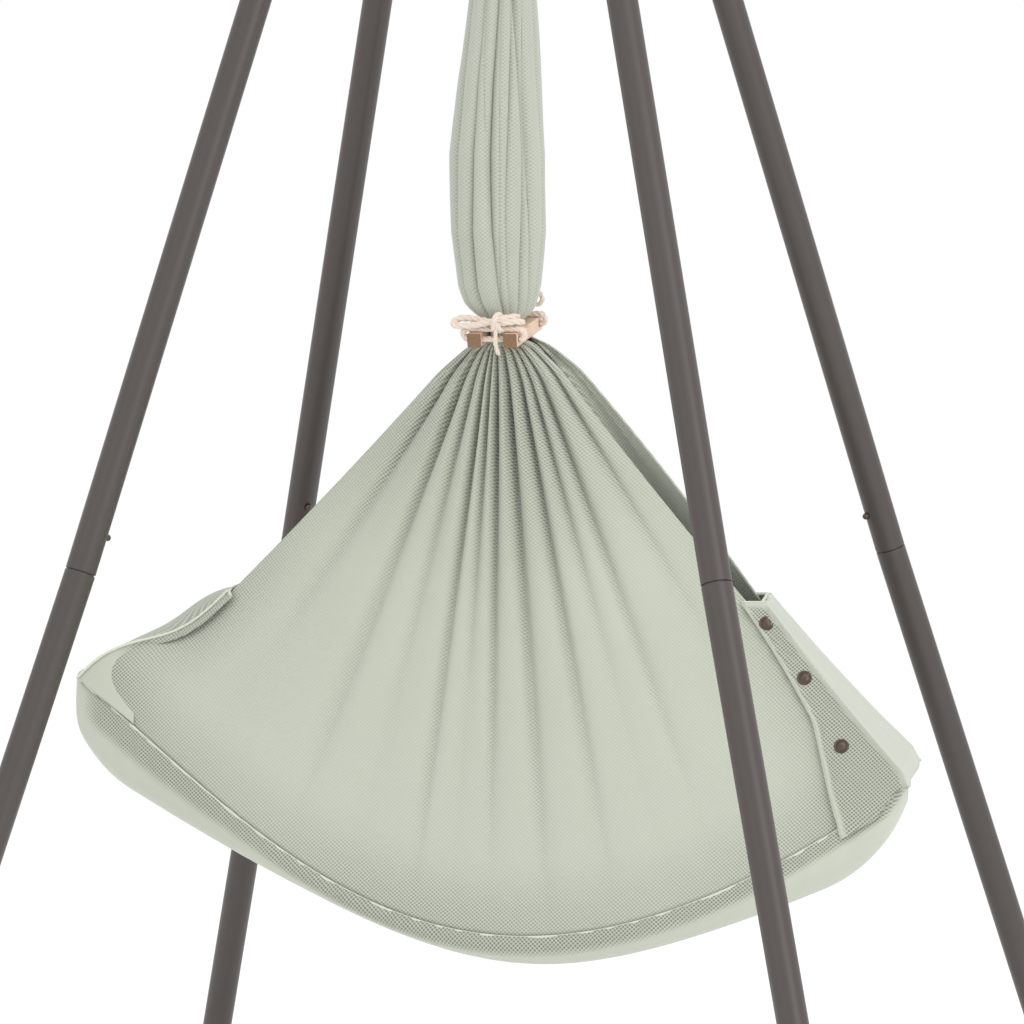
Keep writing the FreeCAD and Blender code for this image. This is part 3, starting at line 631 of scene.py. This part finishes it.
def makeBase():
    # across: down the side from the seam, round a corner, along the flat underside and up the other side.
    # Along: the half width, closed over the last part of both ends by sqrt(1 - k^2.6)
    rows, columns = base["rows"], 91
    run = np.sin(np.linspace(-1, 1, rows) * np.pi / 2)[:, None]
    x = np.where(run < 0, run * -hammock["left"], run * hammock["right"])
    closing = np.sqrt(np.clip(1 - np.clip((np.abs(run) - 0.955) / 0.045, 0, 1) ** 2.6, 0, 1))
    k = np.linspace(-1, 1, columns)[None, :]
    side, w = np.sign(k), np.abs(k)
    high, low = seamHeight(x) + 0.0005 + 0.007 * smoothStep(run, 0.965, 0.99), underHeight(x)
    half = np.maximum(halfWidth(x) * closing, 0.00005)
    depth = high - low
    corner = np.minimum(np.minimum(base["corner"], depth * 0.8), half * 0.9)
    # w from 0 (middle of the underside) to 1 (the seam), as a length along flat, quarter circle and wall
    flat = half - corner
    arc = corner * np.pi / 2
    wall = depth - corner
    length = flat + arc + wall
    at = w * length
    bend = np.clip((at - flat) / corner, 0, np.pi / 2)
    y = np.where(at < flat, at, flat + corner * np.sin(bend))
    z = np.where(at < flat, low, low + corner * (1 - np.cos(bend)) + np.maximum(at - flat - arc, 0))
    bellied = 0.0035 * np.sin(np.pi * np.clip((z - low) / depth, 0, 1)) * (np.abs(y) > flat * 0.98)
    ripple = 0.0008 * np.sin(x * 190 + 3 * np.sin(x * 37)) * np.clip((z - low) / depth * 1.6, 0, 1)
    y = y + (bellied + ripple) * closing
    points = skewed(x, side * y, z, x)
    # painted shade seen through the cells in a strip under the seam, wider towards the head end and left out
    # where the head end closes; below it the paler lined tone
    fromSeam = length - at
    limit = base["strip"] * (1 + 0.9 * smoothStep(-x, 0.18, 0.36))
    cells = (1 - smoothStep(fromSeam / limit, 0.75, 1.25)) * (1 - smoothStep(np.abs(run), 0.90,
                                                                             0.97) * (run < 0))
    cells = np.broadcast_to(cells, points.shape[:2]).copy()
    uv = np.stack([points[..., 0], points[..., 2] * weaveStretch], -1)
    return clothPiece("basePocket", points, meshMaterial, "hammock", ["base_pocket"], uv,
                      {"shadeThroughCells": cells, "pale": 0.9 * (1 - cells)}, thickness=base["thickness"])


makeBase()
print("gathered top and base made")


# the head end: a sloping panel with a rolled hem, whose margins are sewn over the side panels
headEnd = {"overlap": 0.007, "tip": 0.060, "hem": 1.3 * millimetre}


def headPoint(k, v, out):
    # the middle, |v| <= 1, spans from hem to hem as a shallow arch; beyond it the cloth turns down over the
    # side panel by the overlap, and by more at the tip
    k, v = np.broadcast_arrays(np.asarray(k, float), np.asarray(v, float))
    x, y, z = headEdge(k)
    w = np.clip(np.abs(v) - 1, 0, 1)
    arch = (0.004 + 0.017 * np.sin(np.pi * k ** 2.6)) * (1 - np.minimum(np.abs(v), 1) ** 2.5)
    over = headEnd["overlap"] + headEnd["tip"] * np.clip(1 - k / 0.42, 0, 1) ** 0.8
    sink = np.clip(1 - k / 0.42, 0, 1)
    endX = x + over * (0.62 + 0.36 * sink)
    endZ = np.maximum(z - over * 0.62, seamHeight(endX) + 0.001)
    outer = np.where(endX < -0.36, halfWidth(endX) + 0.003,
                     panelHalfWidth(np.maximum(endX, -0.36), endZ) + 0.003)
    newX = x - 0.62 * (arch + out * (1 - w)) + (endX - x) * w
    newZ = z + 0.78 * (arch + out * (1 - w)) + (endZ - z) * w
    newY = np.where(w > 0, y + 0.0025 + (outer - y - 0.0025) * w + out, np.abs(v) * (y + 0.0025))
    return np.stack([newX, np.sign(v) * newY, newZ], -1)


def makeHead():
    rows = np.linspace(0, 1, 80)[:, None]
    across = np.concatenate([np.linspace(-2, -1, 22)[:-1], np.linspace(-1, 1, 41),
                             np.linspace(1, 2, 22)[1:]])[None, :]
    points = headPoint(rows, across, 0.0018)
    # painted shade seen through the cells above the tip; the paler lined tone at the tip
    tip = 1 - smoothStep(rows, 0.26, 0.42)
    cells = np.broadcast_to(0.8 * (1 - tip) + 0.0 * across, points.shape[:2]).copy()
    spread = np.stack([np.where(np.abs(across) > 1, points[..., 0], points[..., 1]),
                       points[..., 2] * weaveStretch], -1)
    return clothPiece("headPanel", points, meshMaterial, "hammock", ["head_panel"], spread,
                      {"shadeThroughCells": cells, "pale": 0.55 * np.broadcast_to(tip, cells.shape)},
                      thickness=1.2 * millimetre)


def tube(name, path, radius, material, body, sides=10, closed=False, cads=()):
    # a round section along a path, with both ends drawn together
    section = profileAlong(path, radius, sides, closed)
    if not closed:
        section = np.concatenate([path[:1, None] + 0 * section[:1], section,
                                  path[-1:, None] + 0 * section[-1:]])
    run = np.concatenate([[0], np.cumsum(np.linalg.norm(np.diff(section[:, 0], axis=0), axis=-1))])
    around = np.arange(sides) / sides * 2 * np.pi * np.max(radius)
    uv = np.stack(np.broadcast_arrays(run[:, None], around[None, :]), -1)
    piece = makeGrid(name, section, uv, None, closedRows=closed, closedColumns=True)
    dress(piece, material)
    if body:
        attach(piece, body)
    if cads:
        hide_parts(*cads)
    return piece


# the spring's coil: a right-handed helix that stretches when the hammock bounces
coil = {"radius": 19.5 * millimetre, "wire": 2.5 * millimetre, "turns": 22, "low": 1.4610, "high": 1.5820}
run = np.linspace(0, 1, coil["turns"] * 28 + 1)
turn = 2 * np.pi * coil["turns"] * run
helix = np.stack([coil["radius"] * np.cos(turn), coil["radius"] * np.sin(turn),
                  coil["low"] + (coil["high"] - coil["low"]) * run], -1)
springCoil = tube("springCoil", helix, coil["wire"], springSteel, None, 12, cads=["spring_coil"])
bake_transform(springCoil)
print("spring coil made")

makeHead()
for side, name in ((-1, "headHemFront"), (1, "headHemBack")):
    line = headPoint(np.linspace(0.0, 1.0, 80), np.full(80, 1.02 * side), 0.0026)
    tube(name, smoothPath(line, 90), headEnd["hem"], threadCloth, "hammock", 8)
topHem = headPoint(np.ones(60), np.linspace(-1.9, 1.9, 60), 0.0016)
tube("headTopHem", smoothPath(topHem, 70), 1.6 * millimetre, pocketCloth, "hammock", 8)
print("head end made")


# the piping along each long seam
for side, name in ((-1, "frontSeam"), (1, "backSeam")):
    x = np.linspace(hammock["left"] + 0.012, hammock["right"] - 0.012, 200)
    line = skewed(x, side * (halfWidth(x) + 0.0008), seamHeight(x) + 0.0006, x)
    tube(name, line, 1.35 * millimetre, threadCloth, "hammock", 8)


# the foot end: a flap that opens on its seam, with two margins that snap over the side panels
flap = {"margin": (0.0155, 0.033), "gap": 0.0018, "thickness": 2.6 * millimetre, "lip": 7 * millimetre}


def flapPoint(s, v, out):
    # each level row closes the end between the side panels, |v| <= 1, then turns back along them, 1 < |v|
    # <= 2
    s, v = np.broadcast_arrays(np.asarray(s, float), np.asarray(v, float))
    reach = 1 - 0.4 * s
    edgeX = hammock["panelRight"] + (fanTop(1.0) - hammock["panelRight"]) * (1 - reach)
    z = panelPoint(1.0, reach, 1)[..., 2] + 0.002
    swell = 0.003 + 0.010 * (1 - s) ** 3
    w = np.clip(np.abs(v) - 1, 0, 1)
    # the margins are narrow at the top and broad at the seam, where their lower edge follows the seam and
    # laps over it
    narrow, spread = flap["margin"]
    back = w * (narrow + spread * (1 - s) ** 1.5)
    toSeam = np.clip(1 - s / 0.35, 0, 1) ** 1.5 * smoothStep(w, 0.0, 0.5)
    z = z + (seamHeight(edgeX - back) + 0.0015 - z) * toSeam - flap["lip"] * (1 - smoothStep(s, 0, 0.05))
    y = panelHalfWidth(edgeX - back, np.maximum(z, seamHeight(edgeX - back) + 0.001)) + flap["gap"] + out
    y = y * np.minimum(np.abs(v), 1) * np.sign(v)
    x = edgeX - back + swell * (1 - w) + np.where(w > 0, 0, out)
    return skewed(x, y, z, hammock["right"])


def makeFlap():
    rows = (np.linspace(0, 1, 90) ** 1.1)[:, None]
    turn = np.array([-1.06, -1.03, -1.012, -1.0, -0.985, -0.96])
    across = np.concatenate([np.linspace(-2, -1.1, 24), turn, np.linspace(-0.92, 0.92, 46), -turn[::-1],
                             np.linspace(1.1, 2, 24)])[None, :]
    points = flapPoint(rows * 1.0, across, 0.0028)
    w = np.abs(across)
    # small waves in the end face, a hem that stands up along each free edge and a gathered tuck near the
    # seam's far corner
    wave = 0.0016 * np.sin(9 * rows + 4 * across) * (w < 1) * np.sin(np.pi * np.clip(w, 0, 1)) ** 0.5
    tuck = 0.0022 * np.exp(-((across - 0.90) / 0.07) ** 2) * np.cos(rows * 60) * np.exp(-rows * 9)
    points[..., 0] += wave + tuck
    pucker = 0.0009 * np.sin(rows * 55) * np.exp(-((w - 1.9) / 0.12) ** 2)
    points[..., 1] += pucker * np.sign(across)
    # painted shade seen through the cells, strongest on the margins and fading at their free edges and the
    # top; elsewhere the paler lined tone
    margin = smoothStep(w, 0.99, 1.04)
    rim = (1 - smoothStep(w, 1.88, 1.96)) * (1 - smoothStep(rows, 0.95, 0.99))
    cells = np.broadcast_to((0.10 + 0.9 * margin) * rim, points.shape[:2]).copy()
    onSide = np.broadcast_to(w > 1, points.shape[:2])
    spread = np.stack([np.where(onSide, points[..., 0], points[..., 1]), points[..., 2] * weaveStretch], -1)
    return clothPiece("footFlap", points, meshMaterial, "flap", ["foot_flap"], spread,
                      {"shadeThroughCells": cells, "pale": 0.85 * (1 - cells)}, thickness=flap["thickness"])


makeFlap()
topLine = flapPoint(np.ones(160), np.linspace(-2, 2, 160), 0.0016)
tube("flapHem", smoothPath(topLine, 170), 2.0 * millimetre, pocketCloth, "flap", 10)
for side, name in ((-1, "flapEdgeFront"), (1, "flapEdgeBack")):
    line = flapPoint(np.linspace(0.0, 1.0, 60), np.full(60, 2.0 * side), 0.0014)
    tube(name, smoothPath(line, 80), 1.5 * millimetre, pocketCloth, "flap", 10)
print("flap made")


# antique bronze snap caps: a rolled rim round a shallow dome
snap = {"places": (0.26, 0.57, 0.88), "across": 1.5, "radius": 7.4 * millimetre, "dome": 2.4 * millimetre,
        "lift": 0.7 * millimetre,
        "stud": 4.0 * millimetre, "studPlace": -3.7 * millimetre}


def snapFrame(s, side):
    here = flapPoint(s, side * snap["across"], 0.003)
    along = flapPoint(s + 0.02, side * snap["across"], 0.003) - here
    across = flapPoint(s, side * (snap["across"] + 0.05), 0.003) - here
    normal = np.cross(along, across)
    normal /= np.linalg.norm(normal)
    return here, normal if normal[1] * side > 0 else -normal


def turnedDisc(name, here, normal, radius, height, material, body):
    # a profile of radii and heights turned about the normal
    sideways = np.cross(normal, [0, 0, 1.0])
    sideways /= np.linalg.norm(sideways)
    upward = np.cross(normal, sideways)
    angle = np.linspace(0, 2 * np.pi, 48, endpoint=False)[None, :, None]
    points = here + normal * height[:, None, None] + radius[:, None, None] * (
        sideways * np.cos(angle) + upward * np.sin(angle))
    piece = makeGrid(name, points, None, None, closedColumns=True)
    dress(piece, material)
    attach(piece, body)
    return piece


def makeCap(name, s, side):
    # collar, rolled rim, groove and dome
    here, normal = snapFrame(s, side)
    r, h = snap["radius"], snap["dome"]
    roll = np.linspace(-0.5 * np.pi, 0.85 * np.pi, 12)
    rimR, rimH = r - 0.0011 + 0.0011 * np.cos(roll), 0.0018 + 0.0011 * np.sin(roll)
    domeK = np.linspace(1, 0, 16)
    domeR, domeH = (r - 0.0023) * domeK, 0.0022 + h * np.sqrt(1 - 0.92 * domeK ** 2) - h * 0.28
    radius = np.concatenate([[0.0, r - 0.002], rimR, domeR])
    height = np.concatenate([[-0.0015, -0.0015], rimH, domeH]) + snap["lift"]
    return turnedDisc(name, here, normal, radius, height, agedBronze, "flap")


def makeStud(name, s, side):
    # the half of a snap that stays on the side panel: a thin disc behind the margin
    here, normal = snapFrame(s, side)
    radius = snap["stud"] * np.array([0.0, 0.9, 1.0, 1.0, 0.9, 0.0])
    height = snap["studPlace"] + np.array([0.0, 0.0, 0.0001, 0.0004, 0.0005, 0.0005])
    return turnedDisc(name, here, normal, radius, height, agedBronze, "hammock")


places = [(k + 1, snap["places"][k % 3], -1 if k < 3 else 1) for k in range(6)]
caps = [makeCap("snapCap%d" % k, s, side) for k, s, side in places]
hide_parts("snap_caps")
studs = [makeStud("snapStud%d" % k, s, side) for k, s, side in places]
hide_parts("snap_studs")
print("snaps made")


# the foam mattress, in a cotton cover: crowned by simulated pressure from a slightly smaller shape
mattress = {"pressure": 4.0, "cap": 6 * millimetre, "spacing": 9 * millimetre, "inset": 0.006}


def makeMattress():
    # a closed slab between the pocket's floor and the seam, narrower than the pocket by the inset: its
    # outline is a superellipse of the slab's own half height
    rows, columns = 96, 64
    x = np.linspace(-0.400, 0.400, rows)[:, None]
    angle = np.linspace(0, 2 * np.pi, columns, endpoint=False)[None, :]
    low, high = underHeight(x) + 0.0045, seamHeight(x) - 0.006
    closing = np.clip(1 - np.clip((np.abs(np.linspace(-1, 1, rows))[:, None] - 0.95) / 0.05, 0, 1) ** 3,
                      0.02, 1) ** 0.5
    half = (halfWidth(x) - mattress["inset"] - 0.004) * (0.4 + 0.6 * closing)
    tall = (high - low) / 2 * (0.25 + 0.75 * closing)
    power = 0.55
    y = half * np.sign(np.cos(angle)) * np.abs(np.cos(angle)) ** (power * 0.35)
    z = (high + low) / 2 + tall * np.sign(np.sin(angle)) * np.abs(np.sin(angle)) ** power
    points = skewed(x, y, z, x)
    middle = points.mean(1, keepdims=True)
    points = np.concatenate([middle[:1] + 0 * points[:1], points, middle[-1:] + 0 * points[-1:]])
    piece = makeGrid("mattressPad", points[:, ::-1], None, None, closedColumns=True)
    bpy.context.view_layer.objects.active = piece
    remesh = addModifier(piece, "REMESH", mode="VOXEL", voxel_size=mattress["spacing"] * 0.75)
    bpy.context.view_layer.update()
    cooked = bpy.data.meshes.new_from_object(piece.evaluated_get(bpy.context.evaluated_depsgraph_get()))
    piece.modifiers.remove(remesh)
    piece.data = cooked
    before = np.zeros(len(cooked.vertices) * 3)
    cooked.vertices.foreach_get("co", before)
    before = before.reshape(-1, 3)
    cloth = addModifier(piece, "CLOTH")
    cloth.settings.use_pressure = True
    cloth.settings.uniform_pressure_force = mattress["pressure"]
    cloth.settings.effector_weights.gravity = 0
    cloth.settings.quality = 4
    for number in range(1, 21):
        bpy.context.scene.frame_set(number)
    swollen = bpy.data.meshes.new_from_object(piece.evaluated_get(bpy.context.evaluated_depsgraph_get()))
    piece.modifiers.remove(cloth)
    after = np.zeros(len(swollen.vertices) * 3)
    swollen.vertices.foreach_get("co", after)
    move = after.reshape(-1, 3) - before
    far = np.linalg.norm(move, axis=1, keepdims=True)
    move *= np.minimum(1, mattress["cap"] / np.maximum(far, 1e-9))
    after = before + move
    # it rests flat on the pocket's floor and stays inside the pocket
    share = np.clip(after[:, 0] / hammock["right"], 0, 1) ** 2
    straightX = after[:, 0] + hammock["skew"] * after[:, 1] * share
    after[:, 2] = np.maximum(after[:, 2], underHeight(np.clip(straightX, -0.417, 0.417)) + 0.003)
    room = halfWidth(straightX) - 0.0035
    after[:, 1] = np.clip(after[:, 1], -room, room)
    swollen.vertices.foreach_set("co", after.ravel())
    swollen.polygons.foreach_set("use_smooth", np.ones(len(swollen.polygons), bool))
    piece.data = swollen
    bpy.context.scene.frame_set(1)
    addModifier(piece, "SUBSURF", levels=1, render_levels=1)
    dress(piece, mattressCover)
    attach(piece, "hammock")
    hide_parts("mattress")
    return piece


makeMattress()
print("mattress made")


# webbing loop over the ring's bar, sewn into the gathered top
webbing = {"width": 26 * millimetre, "thickness": 2.4 * millimetre, "ribs": 9}


def makeWebbing():
    # a flat section, with shallow lengthwise ribs, carried over the bar: up one side, half a turn, down the
    # other
    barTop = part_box("hanging_strap")[1][2]
    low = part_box("hanging_strap")[0][2] + 0.004
    radius = (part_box("hanging_strap")[1][1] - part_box("hanging_strap")[0][1]) / 2 - webbing["thickness"] / 2
    centre = barTop - radius - webbing["thickness"] / 2
    turn = np.linspace(0, np.pi, 25)
    y = np.concatenate([np.full(30, radius), radius * np.cos(turn), np.full(30, -radius)])
    z = np.concatenate([np.linspace(low, centre, 30, endpoint=False), centre + radius * np.sin(turn),
                        np.linspace(centre, low, 31)[1:]])
    outward = np.concatenate([np.tile([1.0, 0], (30, 1)), np.stack([np.cos(turn), np.sin(turn)], 1),
                              np.tile([-1.0, 0], (30, 1))])
    across = np.linspace(-0.5, 0.5, 73)
    rib = 0.00022 * np.cos(across * 2 * np.pi * webbing["ribs"])
    edge = 1 - np.clip((np.abs(across) - 0.46) / 0.04, 0, 1) ** 2 * 0.5
    skinOut = webbing["thickness"] / 2 * edge + rib
    outer = np.stack(np.broadcast_arrays(across[None] * webbing["width"],
                                         y[:, None] + outward[:, :1] * skinOut[None],
                                         z[:, None] + outward[:, 1:] * skinOut[None]), -1)
    inner = np.stack(np.broadcast_arrays(across[None] * webbing["width"],
                                         y[:, None] - outward[:, :1] * skinOut[None],
                                         z[:, None] - outward[:, 1:] * skinOut[None]), -1)[:, ::-1]
    section = np.concatenate([outer, inner], 1)
    middle = section.mean(1, keepdims=True)
    section = np.concatenate([middle[:1] + 0 * section[:1], section, middle[-1:] + 0 * section[-1:]])
    run = np.concatenate([[0], np.cumsum(np.linalg.norm(np.diff(section[:, 10], axis=0), axis=-1))])
    column = np.concatenate([across, across[::-1]]) * webbing["width"]
    uv = np.stack(np.broadcast_arrays(column[None], run[:, None]), -1)
    piece = makeGrid("webbingLoop", section[:, ::-1], uv[:, ::-1], None, closedColumns=True)
    dress(piece, webbingCloth)
    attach(piece, "hammock")
    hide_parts("hanging_strap")
    return piece


makeWebbing()


# the clamp's rope: three twisted strands everywhere
clamp = {"middle": (0.009, 0.0, 0.8855), "tilt": 11.0, "barGap": 18.5 * millimetre, "bar": 14 * millimetre,
         "rope": 3.0 * millimetre, "lashing": 34.5 * millimetre}


def tilted(points):
    # turns points about the clamp's middle, so its far end is higher, as the two bars lie
    a = math.radians(clamp["tilt"])
    m = np.array(clamp["middle"])
    p = np.asarray(points, float) - m
    return np.stack([p[:, 0], p[:, 1] * math.cos(a) - p[:, 2] * math.sin(a),
                     p[:, 1] * math.sin(a) + p[:, 2] * math.cos(a)], -1) + m


def ropeAlong(name, points, radius, cads=(), closed=False, taper=0.0):
    # three strands turn round the path like the laid rope they are: each strand's centre is half of the
    # rope's radius out and goes once round every seven radii
    length = float(np.linalg.norm(np.diff(np.asarray(points), axis=0), axis=1).sum())
    count = max(24, int(length / (radius * 0.42)))
    path = smoothPath(points, count)
    if closed:
        path = path[:-1]
    ahead, side, up = pathFrames(path, closed)
    run = np.concatenate([[0], np.cumsum(np.linalg.norm(np.diff(path, axis=0), axis=1))])
    turns = max(1, round(run[-1] / (radius * 7.0)))
    phase = run / run[-1] * turns * 2 * np.pi
    size = radius * (1 - taper * np.clip(1 - np.minimum(run, run[-1] - run) / (radius * 1.2), 0, 1) ** 2)
    strands = []
    for k in range(3):
        a = phase + k * 2 * np.pi / 3
        centre = path + (side * np.cos(a)[:, None] + up * np.sin(a)[:, None]) * (size * 0.5)[:, None]
        section = profileAlong(centre, size * 0.56, 9, closed)
        if not closed:
            section = np.concatenate([centre[:1, None] + 0 * section[:1], section,
                                      centre[-1:, None] + 0 * section[-1:]])
        strands.append(section)
    rows = strands[0].shape[0]
    points3 = np.concatenate(strands, 0)
    number = np.arange(points3.shape[0] * 9).reshape(3, rows, 9)
    r = np.arange(rows if closed else rows - 1)
    quads = []
    for k in range(3):
        rr, cc = np.meshgrid(r, np.arange(9), indexing="ij")
        quads.append(np.stack([number[k][rr, cc], number[k][(rr + 1) % rows, cc],
                               number[k][(rr + 1) % rows, (cc + 1) % 9],
                               number[k][rr, (cc + 1) % 9]], -1).reshape(-1, 4))
    quads = np.concatenate(quads)[:, ::-1]
    mesh = bpy.data.meshes.new(name)
    mesh.from_pydata(points3.reshape(-1, 3).tolist(), [], quads.tolist())
    u = np.tile(np.arange(9) / 9, (3 * rows, 1))
    v = np.tile(np.linspace(0, length, rows), 3)[:, None]
    uv = np.stack(np.broadcast_arrays(u * radius * 3, v), -1).reshape(-1, 2)
    mesh.uv_layers.new(name="UVMap").data.foreach_set("uv",
                                                      uv[quads.reshape(-1)].astype(np.float32).ravel())
    mesh.polygons.foreach_set("use_smooth", np.ones(len(quads), bool))
    piece = bpy.data.objects.new(name, mesh)
    bpy.context.scene.collection.objects.link(piece)
    dress(piece, ropeCotton)
    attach(piece, "hammock")
    if cads:
        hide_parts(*cads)
    return piece


def lashingLine(y):
    # through the cross holes of both bars, round outside them by half circles, and back over their tops
    over = clamp["bar"] / 2 + clamp["rope"] + 0.0003
    reach = clamp["barGap"] + clamp["bar"] / 2 + 0.001
    middleX, low = clamp["middle"][0], clamp["middle"][2]
    a = np.linspace(-np.pi / 2, np.pi / 2, 11)
    run = np.linspace(-reach, reach, 9)[1:-1]
    x = np.concatenate([middleX + reach + over / 2 * np.cos(a), middleX - run,
                        middleX - reach - over / 2 * np.cos(a),
                        middleX + run])
    z = low + np.concatenate([over / 2 * (1 + np.sin(a)), np.full(7, over), over / 2 * (1 - np.sin(a)),
                              np.zeros(7)])
    points = np.stack([x, y + 0 * x, z], -1)
    return tilted(np.concatenate([points, points[:1]]))


ropeAlong("frontLashing", lashingLine(-clamp["lashing"]), clamp["rope"], ["front_lashing"], closed=True)
ropeAlong("backLashing", lashingLine(clamp["lashing"]), clamp["rope"], ["back_lashing"], closed=True)

# the bow on the front lashing: a doubled run with a loop at its head end, a round knot and a short tail, as
# points before the clamp is tilted
bowY, bowZ = -clamp["lashing"], clamp["middle"][2] + 0.0172
bow = [(0.0400, 0.004, -0.001), (0.0330, -0.001, 0.0010), (0.0230, -0.0045, 0.0006),
       (0.0120, -0.0030, -0.0008),
       (0.0010, -0.0010, 0.0012), (-0.0090, 0.0010, 0.0026), (-0.0190, 0.0012, 0.0034),
       (-0.0265, -0.0002, 0.0030),
       (-0.0310, -0.0024, 0.0002), (-0.0290, -0.0046, -0.0028), (-0.0220, -0.0054, -0.0030),
       (-0.0120, -0.0050, -0.0024),
       (-0.0010, -0.0052, -0.0008), (0.0090, -0.0058, 0.0018), (0.0170, -0.0046, 0.0038),
       (0.0270, 0.0000, 0.0048),
       (0.0350, 0.0052, 0.0046)]
ropeAlong("ropeBow", tilted(np.array(bow) + (0, bowY, bowZ)), 3.3 * millimetre, ["rope_bow"], taper=0.4)
knot = [(0.0120, -0.0085, -0.0075), (0.0125, -0.0100, -0.0010), (0.0135, -0.0085, 0.0050),
        (0.0150, -0.0030, 0.0078),
        (0.0170, 0.0020, 0.0050), (0.0185, 0.0020, -0.0030), (0.0180, -0.0040, -0.0075),
        (0.0170, -0.0090, -0.0050),
        (0.0158, -0.0105, 0.0010)]
ropeAlong("ropeKnot", tilted(np.array(knot) + (0, bowY, bowZ)), 2.9 * millimetre, taper=0.4)
tail = [(0.0150, -0.0095, -0.0030), (0.0142, -0.0108, -0.0100), (0.0136, -0.0112, -0.0180),
        (0.0146, -0.0108, -0.0255),
        (0.0162, -0.0102, -0.0310)]
ropeAlong("ropeTail", tilted(np.array(tail) + (0, bowY, bowZ)), 2.1 * millimetre, ["rope_tail"], taper=0.5)

# the free loop on the back lashing's foot side
turn = np.linspace(-0.75 * np.pi, 1.15 * np.pi, 15)
loop = np.stack([0.031 + 0.0056 * np.cos(turn), clamp["lashing"] + 0.0075 + 0.0012 * np.sin(turn * 0.5),
                 clamp["middle"][2] + 0.024 + 0.0058 * np.sin(turn)], -1)
foot = [(0.019, clamp["lashing"] + 0.003, clamp["middle"][2] + 0.0158)]
ropeAlong("ropeLoop", tilted(np.concatenate([foot, loop, [(0.0215, clamp["lashing"] + 0.006,
                                               clamp["middle"][2] + 0.0165)]])),
          2.4 * millimetre, ["rope_loop"], taper=0.3)
print("webbing and rope made")


# stage, light and camera

stageRadius = 16.0


def makeStage():
    # a flat round floor
    turn = np.linspace(0, 2 * np.pi, 64, endpoint=False)
    rim = np.stack([np.cos(turn), np.sin(turn), 0 * turn], -1) * stageRadius
    piece = makeGrid("paleFloor", np.stack([0 * rim, rim])[:, ::-1], None, None, closedColumns=True)
    material, tree, shader = newMaterial("matteWhitePaper", {"Roughness": 1.0, "Specular IOR Level": 0.0})
    shader.inputs["Base Color"].default_value = linearColour("ffffff")
    dress(piece, material)


makeStage()


def softLight(name, place, aim, size, power):
    lamp = bpy.data.lights.new(name, "AREA")
    lamp.shape, lamp.size, lamp.energy = "DISK", size, power
    holder = bpy.data.objects.new(name, lamp)
    holder.location = place
    holder.rotation_euler = (Vector(aim) - Vector(place)).to_track_quat("-Z", "Y").to_euler()
    bpy.context.scene.collection.objects.link(holder)


softLight("skyLight", (1.2, -1.5, 4.6), (0, 0, 0.5), 3.2, 36)
softLight("footSideLight", (3.6, -2.6, 2.4), (0.1, 0, 0.7), 2.4, 38)
softLight("frontLight", (-2.2, -5.0, 2.2), (0, 0, 0.7), 3.0, 10)
world = bpy.data.worlds.new("studio")
world.use_nodes = True
world.node_tree.nodes["Background"].inputs[0].default_value = linearColour("ffffff")
world.node_tree.nodes["Background"].inputs[1].default_value = 1.0
scene = bpy.context.scene
scene.world = world
scene.view_settings.view_transform = "Standard"

view = {"azimuth": 17.5, "down": 3.0, "lens": 281.25, "place": (2.3865, -7.5163, 1.1204)}
camera = bpy.data.objects.new("camera", bpy.data.cameras.new("camera"))
camera.data.lens, camera.data.sensor_width = view["lens"], 36.0
camera.data.clip_end = 60.0
camera.location = view["place"]
camera.rotation_euler = (math.radians(90 - view["down"]), 0, math.radians(view["azimuth"]))
scene.collection.objects.link(camera)
scene.camera = camera
print("stage, light and camera made")
